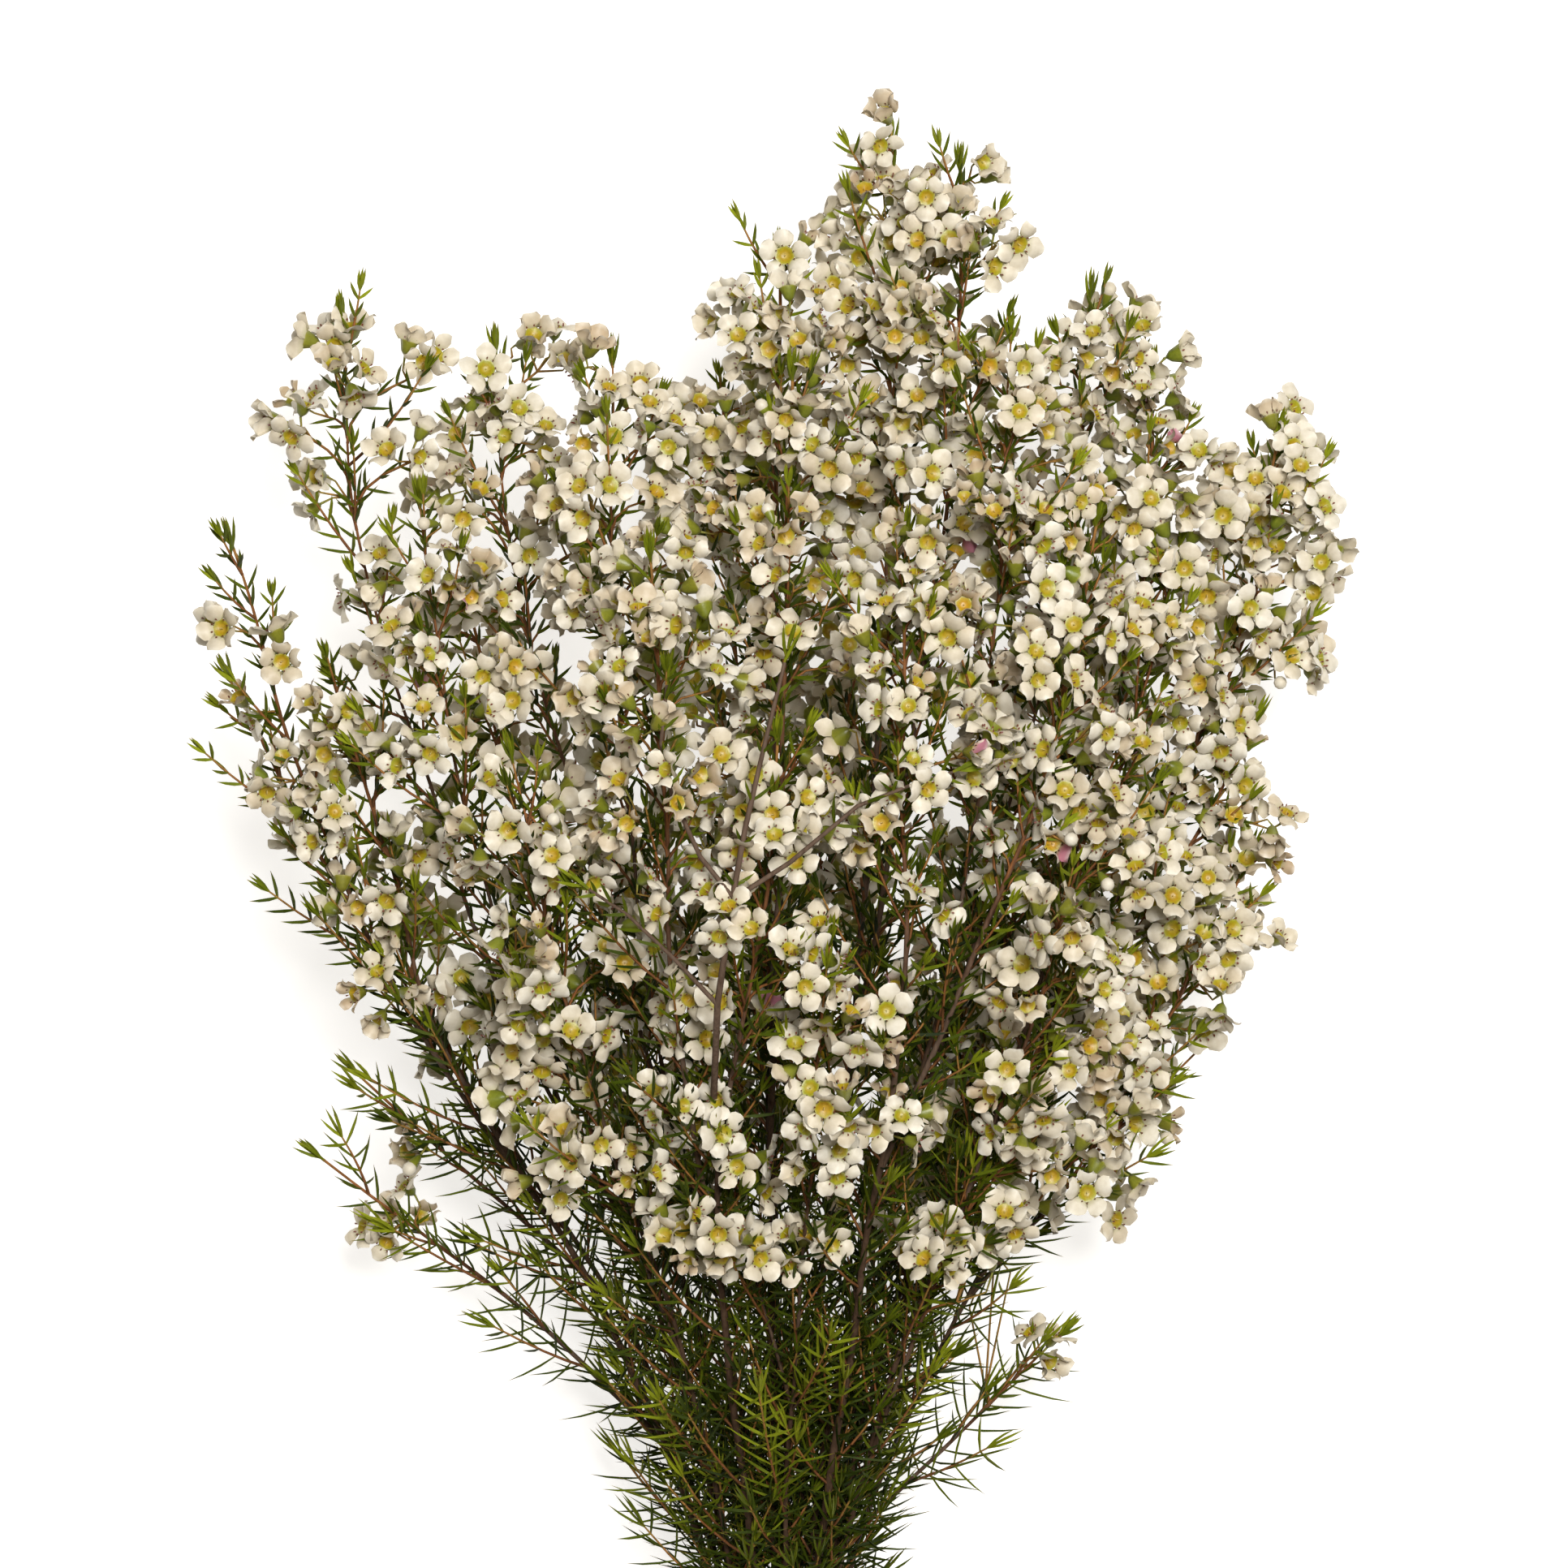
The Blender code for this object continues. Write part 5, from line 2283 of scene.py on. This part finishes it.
@dataclass
class StemPieces:
    """The pieces of one cut stem: its wood, needles, petals and flower hearts.

    Attributes:
        plant: The stem's fine growth.
        patterns: The shapes that repeat.
        stamens: Stamens in a floret.
        deep_stamens: Stamens in a floret deep in the bunch.
        thick_from: The radius from which wood is round, with more sides.
        bend: How far a needle's tip bends, as a share of its length.
        petal_ring: How far off the middle the petals are hinged.
        stamen_ring: How far off it the stamens stand.
        slack: How many degrees a petal's hinge and roll may be off.
        hinges: How many degrees the petals are raised at each stage.
    """

    plant: Plant
    patterns: Patterns
    stamens: int = 8
    deep_stamens: int = 4
    thick_from: float = 0.9
    bend: float = 0.16
    petal_ring: float = 3.1
    stamen_ring: float = 3.4
    slack: float = 14.0
    hinges: dict[Stage, float] = field(
        default_factory=lambda: {
            Stage.OPEN: 19.0,
            Stage.CUPPED: 42.0,
            Stage.CLOSING: 76.0,
            Stage.FADED: 64.0,
        }
    )

    def build(self) -> list[bpy.types.Object]:
        """Builds and dresses all four pieces.

        Returns:
            The pieces.
        """
        wood, needles = self.wood(), self.needles()
        petals, hearts = self.petals(), self.hearts()
        dress(wood, BarkFinish())
        dress(needles, LeafFinish())
        dress(petals, PetalFinish())
        dress(hearts, HeartFinish())
        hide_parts(f"stem_{self.plant.name}")
        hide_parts(*self.plant.spray_nodes)
        return [wood, needles, petals, hearts]

    def wood(self) -> bpy.types.Object:
        """Branches, twigs and pedicels, as tubes along curves.

        Returns:
            The piece.
        """
        thick = [run for run in self.plant.runs if max(run.radii) >= self.thick_from]
        thin = [run for run in self.plant.runs if max(run.radii) < self.thick_from]
        made = joined([self.tubes(thick, 3), self.tubes(thin, 0)], f"{self.plant.name}_wood")
        self.age_wood(made)
        return made

    def tubes(self, runs: list[Run], resolution: int) -> bpy.types.Object:
        """One curve object with a spline for each run.

        Args:
            runs: The runs of wood.
            resolution: How round the tubes are.

        Returns:
            The curve object.
        """
        curve = bpy.data.curves.new("tubes", "CURVE")
        curve.dimensions = "3D"
        curve.bevel_depth = MM
        curve.bevel_resolution = resolution
        curve.use_fill_caps = True
        for run in runs:
            spline = curve.splines.new("POLY")
            spline.points.add(len(run.points) - 1)
            for knot, point, radius in zip(spline.points, run.points, run.radii):
                knot.co = (*((point + SHIFT) * MM), 1.0)
                knot.radius = radius
        made = bpy.data.objects.new("tubes", curve)
        bpy.context.scene.collection.objects.link(made)
        return made

    def age_wood(self, made: bpy.types.Object) -> None:
        """Gives each point of the wood the age of the run that it is on.

        Args:
            made: The wood.
        """
        spots = [
            (point, age)
            for run in self.plant.runs
            for point, age in zip(run.points, run.ages)
        ]
        tree = KDTree(len(spots))
        for i, (point, _) in enumerate(spots):
            tree.insert((point + SHIFT) * MM, i)
        tree.balance()
        ages = [spots[tree.find(vertex.co)[1]][1] for vertex in made.data.vertices]
        attribute = made.data.attributes.new("age", "FLOAT", "POINT")
        attribute.data.foreach_set("value", ages)

    def needles(self) -> bpy.types.Object:
        """All needle leaves, each bent a little towards the shoot's tip.

        Returns:
            The piece.
        """
        mesh, unit = PieceMesh(), self.patterns.needle.points
        for leaf in self.plant.leaves:
            way = np.array(leaf.way)
            side = np.array(leaf.way.orthogonal().normalized())
            other = np.cross(way, side)
            level = leaf.lift.cross(leaf.way).length > 0.01
            lift = np.array(square_to(leaf.lift, leaf.way)) if level else side
            points = np.array(leaf.root) + np.outer(unit[:, 2] * leaf.length, way)
            spans, widths = (HIGH_LEAF, LOW_LEAF * 0.8), (HIGH_LEAF_WIDTH, LOW_LEAF_WIDTH)
            width = float(np.interp(leaf.length, spans, widths))
            points += np.outer(unit[:, 0] * width, side)
            points += np.outer(unit[:, 1] * width, other)
            points += np.outer(unit[:, 2] ** 2 * leaf.length * self.bend, lift)
            mesh.add(self.patterns.needle, points, leaf.tone)
        return mesh.finish(f"{self.plant.name}_needles")

    def petals(self) -> bpy.types.Object:
        """Every floret's petals, hinged as far as it has opened.

        Returns:
            The piece.
        """
        mesh, rng = PieceMesh(), random.Random(f"{self.plant.name} petals")
        for floret in self.plant.florets:
            across, beside, facing = floret_axes(floret)
            if floret.stage is Stage.BUD:
                points = self.patterns.bud.points * floret.size
                placed = np.array(floret.centre) + points @ np.array((across, beside, facing))
                mesh.add(self.patterns.bud, placed, floret.tone)
                continue
            crumple = FADED_SHARE if floret.stage is Stage.FADED else 1.0
            blushed = floret.tone == BLUSHED
            for petal in range(PETALS):
                pattern = rng.choice(self.patterns.petals)
                if floret.deep:
                    pattern = self.patterns.deep_petal
                angle = petal * math.tau / PETALS + rng.uniform(-0.1, 0.1)
                hinge = self.hinges[floret.stage] + rng.uniform(-self.slack, self.slack)
                hinge = math.radians(hinge)
                roll = math.radians(rng.uniform(-self.slack, self.slack))
                radial = across * math.cos(angle) + beside * math.sin(angle)
                sideways = np.cross(facing, radial)
                out = radial * math.cos(hinge) + facing * math.sin(hinge)
                over = np.cross(out, -sideways)
                wide = sideways * math.cos(roll) + over * math.sin(roll)
                deep = over * math.cos(roll) - sideways * math.sin(roll)
                scale = floret.size * rng.uniform(0.92, 1.06) * crumple
                placed = (pattern.points * (crumple, 1, 1)) @ np.array((wide, out, deep)) * scale
                placed += np.array(floret.centre) + radial * self.petal_ring * floret.size
                placed -= facing * PETAL_SINK
                tone = floret.tone + rng.uniform(-0.06, 0.06)
                if blushed:
                    tone = BLUSHED if petal == 0 else 0.2
                mesh.add(pattern, placed, clamped(tone))
        return mesh.finish(f"{self.plant.name}_petals")

    def hearts(self) -> bpy.types.Object:
        """Every floret's calyx, disc and stamens.

        Returns:
            The piece.
        """
        mesh, rng = PieceMesh(), random.Random(f"{self.plant.name} hearts")
        for floret in self.plant.florets:
            axes = np.array(floret_axes(floret))
            centre = np.array(floret.centre)
            tone = clamped(floret.tone * 1.1 + rng.uniform(-0.2, 0.35))
            slim = BUD_CALYX_SHARE if floret.stage is Stage.BUD else 1.0
            points = self.patterns.heart.points * (slim, slim, 1) * floret.size
            mesh.add(self.patterns.heart, centre + points @ axes, tone)
            if floret.stage is Stage.BUD:
                continue
            count = self.deep_stamens if floret.deep else self.stamens
            for number in range(count):
                angle = (number + 0.5) * math.tau / count + rng.uniform(-0.12, 0.12)
                radial = axes[0] * math.cos(angle) + axes[1] * math.sin(angle)
                lean = rng.uniform(-0.1, 0.5)
                up = axes[2] + radial * lean
                up /= np.linalg.norm(up)
                side = np.cross(up, radial)
                side /= np.linalg.norm(side)
                stamen = self.patterns.stamen.points * floret.size
                frame_axes = np.array((np.cross(side, up), side, up))
                foot = centre + radial * self.stamen_ring * floret.size
                mesh.add(self.patterns.stamen, foot + stamen @ frame_axes, tone)
        return mesh.finish(f"{self.plant.name}_hearts")


@dataclass
class CutEnds:
    """The pale cut faces at the stems' feet.

    Attributes:
        growths: The sprays, whose first branches reach the feet.
        share: The cut face's radius, as a share of the stem's.
    """

    growths: list[Growth]
    share: float = 0.93

    def build(self) -> bpy.types.Object:
        """Models a thin domed disc on each foot.

        Returns:
            The piece.
        """
        deselect_all()
        bpy.ops.mesh.primitive_circle_add(vertices=14, radius=1, fill_type="NGON")
        made = bpy.context.object
        edit_all()
        for thickness in (0.28, 0.3):
            bpy.ops.mesh.inset(thickness=thickness, depth=0.02)
        bpy.ops.object.mode_set(mode="OBJECT")
        pattern = Pattern.from_object(made, lambda points: np.hypot(points[:, 0], points[:, 1]))
        mesh = PieceMesh()
        for growth in self.growths:
            if growth.spray.fork is None:
                centre = np.array(growth.branch.points[0])
                radius = growth.branch.radii[0] * self.share
                x, y, z = pattern.points.T * radius
                mesh.add(pattern, centre + np.column_stack((x, -0.05 - z, y)), 0.0)
        piece = mesh.finish("cut_ends")
        dress(piece, CutFinish())
        return piece


@dataclass
class BandLoops:
    """The rubber band, wound a few times round the neck.

    Attributes:
        loops: Its turns.
        thickness: The thickness of its rubber.
    """

    loops: int = 3
    thickness: float = 2.2

    def build(self) -> bpy.types.Object:
        """Models one turn as a ring and lays the turns side by side.

        Returns:
            The piece.
        """
        low, high = (Vector(corner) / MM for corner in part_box("rubber_band"))
        middle, outer = (low + high) / 2, (high.z - low.z) / 2
        pitch = (high.y - low.y) / self.loops
        rings = []
        for number in range(self.loops):
            deselect_all()
            along = low.y + pitch * (number + 0.5)
            bpy.ops.mesh.primitive_torus_add(
                major_segments=64,
                minor_segments=10,
                major_radius=(outer - self.thickness / 2) * MM,
                minor_radius=self.thickness / 2 * MM,
                location=(middle.x * MM, along * MM, middle.z * MM),
                rotation=(math.radians(90), 0, math.radians(1.2 * (number - 1))),
            )
            ring = bpy.context.object
            ring.scale.z = pitch / self.thickness * 0.98
            bpy.ops.object.transform_apply(location=True, rotation=True, scale=True)
            rings.append(ring)
        made = joined(rings, "rubber_band_loops")
        dress(made, RubberFinish())
        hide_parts("rubber_band")
        return made


# The studio

PIXEL = 0.30
PHOTO_SIDE = 1932
MIDDLE_COLUMN = 960
NECK_ROW_ALONG = -205


@dataclass
class Studio:
    """The floor, the lights and the camera that looks down on the bunch, in metres.

    Attributes:
        lamps: The name, place, size and power of each light.
        aim: What the lights point at.
        sky: The colour of the sky's light.
        sky_strength: Its strength.
    """

    lamps: tuple[tuple[str, tuple[float, float, float], float, float], ...] = (
        ("key", (0.5, 0.7, 2.8), 1.0, 101),
        ("fill", (-1.1, -0.4, 2.3), 1.6, 8),
    )
    aim: tuple[float, float, float] = (0.0, 0.08, 0.1)
    sky: tuple[float, float, float] = (1.0, 0.84, 0.58)
    sky_strength: float = 0.09

    def build(self) -> None:
        """Builds the floor, the lights and the camera."""
        self.floor()
        self.lights()
        self.camera()

    def floor(self) -> None:
        """A wide pale floor under the bunch."""
        deselect_all()
        bpy.ops.mesh.primitive_plane_add(size=12, location=(0, 0, -0.0003))
        floor = bpy.context.object
        floor.name = "floor"
        floor.data.materials.append(FloorFinish().material())

    def lights(self) -> None:
        """A soft key from nearly overhead, a fill from the left, and an even sky."""
        for name, place, size, power in self.lamps:
            light = bpy.data.lights.new(name, "AREA")
            light.size = size
            light.energy = power
            made = bpy.data.objects.new(name, light)
            made.location = place
            way = Vector(self.aim) - Vector(place)
            made.rotation_euler = way.to_track_quat("-Z", "Y").to_euler()
            bpy.context.scene.collection.objects.link(made)
        world = bpy.data.worlds.new("soft_sky")
        world.use_nodes = True
        sky = world.node_tree.nodes["Background"]
        sky.inputs["Color"].default_value = (*self.sky, 1.0)
        sky.inputs["Strength"].default_value = self.sky_strength
        bpy.context.scene.world = world
        bpy.context.scene.view_settings.view_transform = "Standard"

    def camera(self) -> None:
        """A long lens straight over the part of the bunch that the photograph frames."""
        side = PHOTO_SIDE * PIXEL
        across = (PHOTO_SIDE / 2 - MIDDLE_COLUMN) * PIXEL
        centre = Vector((across, NECK_ROW_ALONG + side / 2, 0.0)) + SHIFT
        data = bpy.data.cameras.new("camera")
        data.lens = data.sensor_width * CAMERA_DISTANCE / side
        data.clip_end = 20.0
        camera = bpy.data.objects.new("camera", data)
        camera.location = Vector((centre.x, centre.y, CAMERA_DISTANCE + FOCUS_HEIGHT)) * MM
        bpy.context.scene.collection.objects.link(camera)
        bpy.context.scene.camera = camera


def main() -> None:
    """Grows the bunch, builds its pieces in order, and sets up the studio."""
    logging.basicConfig(level=logging.INFO, format="%(message)s")
    growths = grow()
    plants = grow_plants(growths)
    LOG.info("grown: %d florets", sum(len(plant.florets) for plant in plants))
    patterns = Patterns(
        (
            PetalPattern().make(),
            PetalPattern(length=6.4, width=7.8, cup=3.3, skew=0.6).make(),
            PetalPattern(length=7.2, width=8.0, cup=2.0, skew=-0.8).make(),
        ),
        PetalPattern(columns=3, rows=2).make(),
        HeartPattern().make(),
        StamenPattern().make(),
        BudPattern().make(),
        NeedlePattern().make(),
    )
    for plant in plants:
        for piece in StemPieces(plant, patterns).build():
            LOG.info("%s: %d faces", piece.name, len(piece.data.polygons))
    LOG.info("%s", CutEnds(growths).build().name)
    LOG.info("%s", BandLoops().build().name)
    Studio().build()


if __name__ == "__main__":
    main()
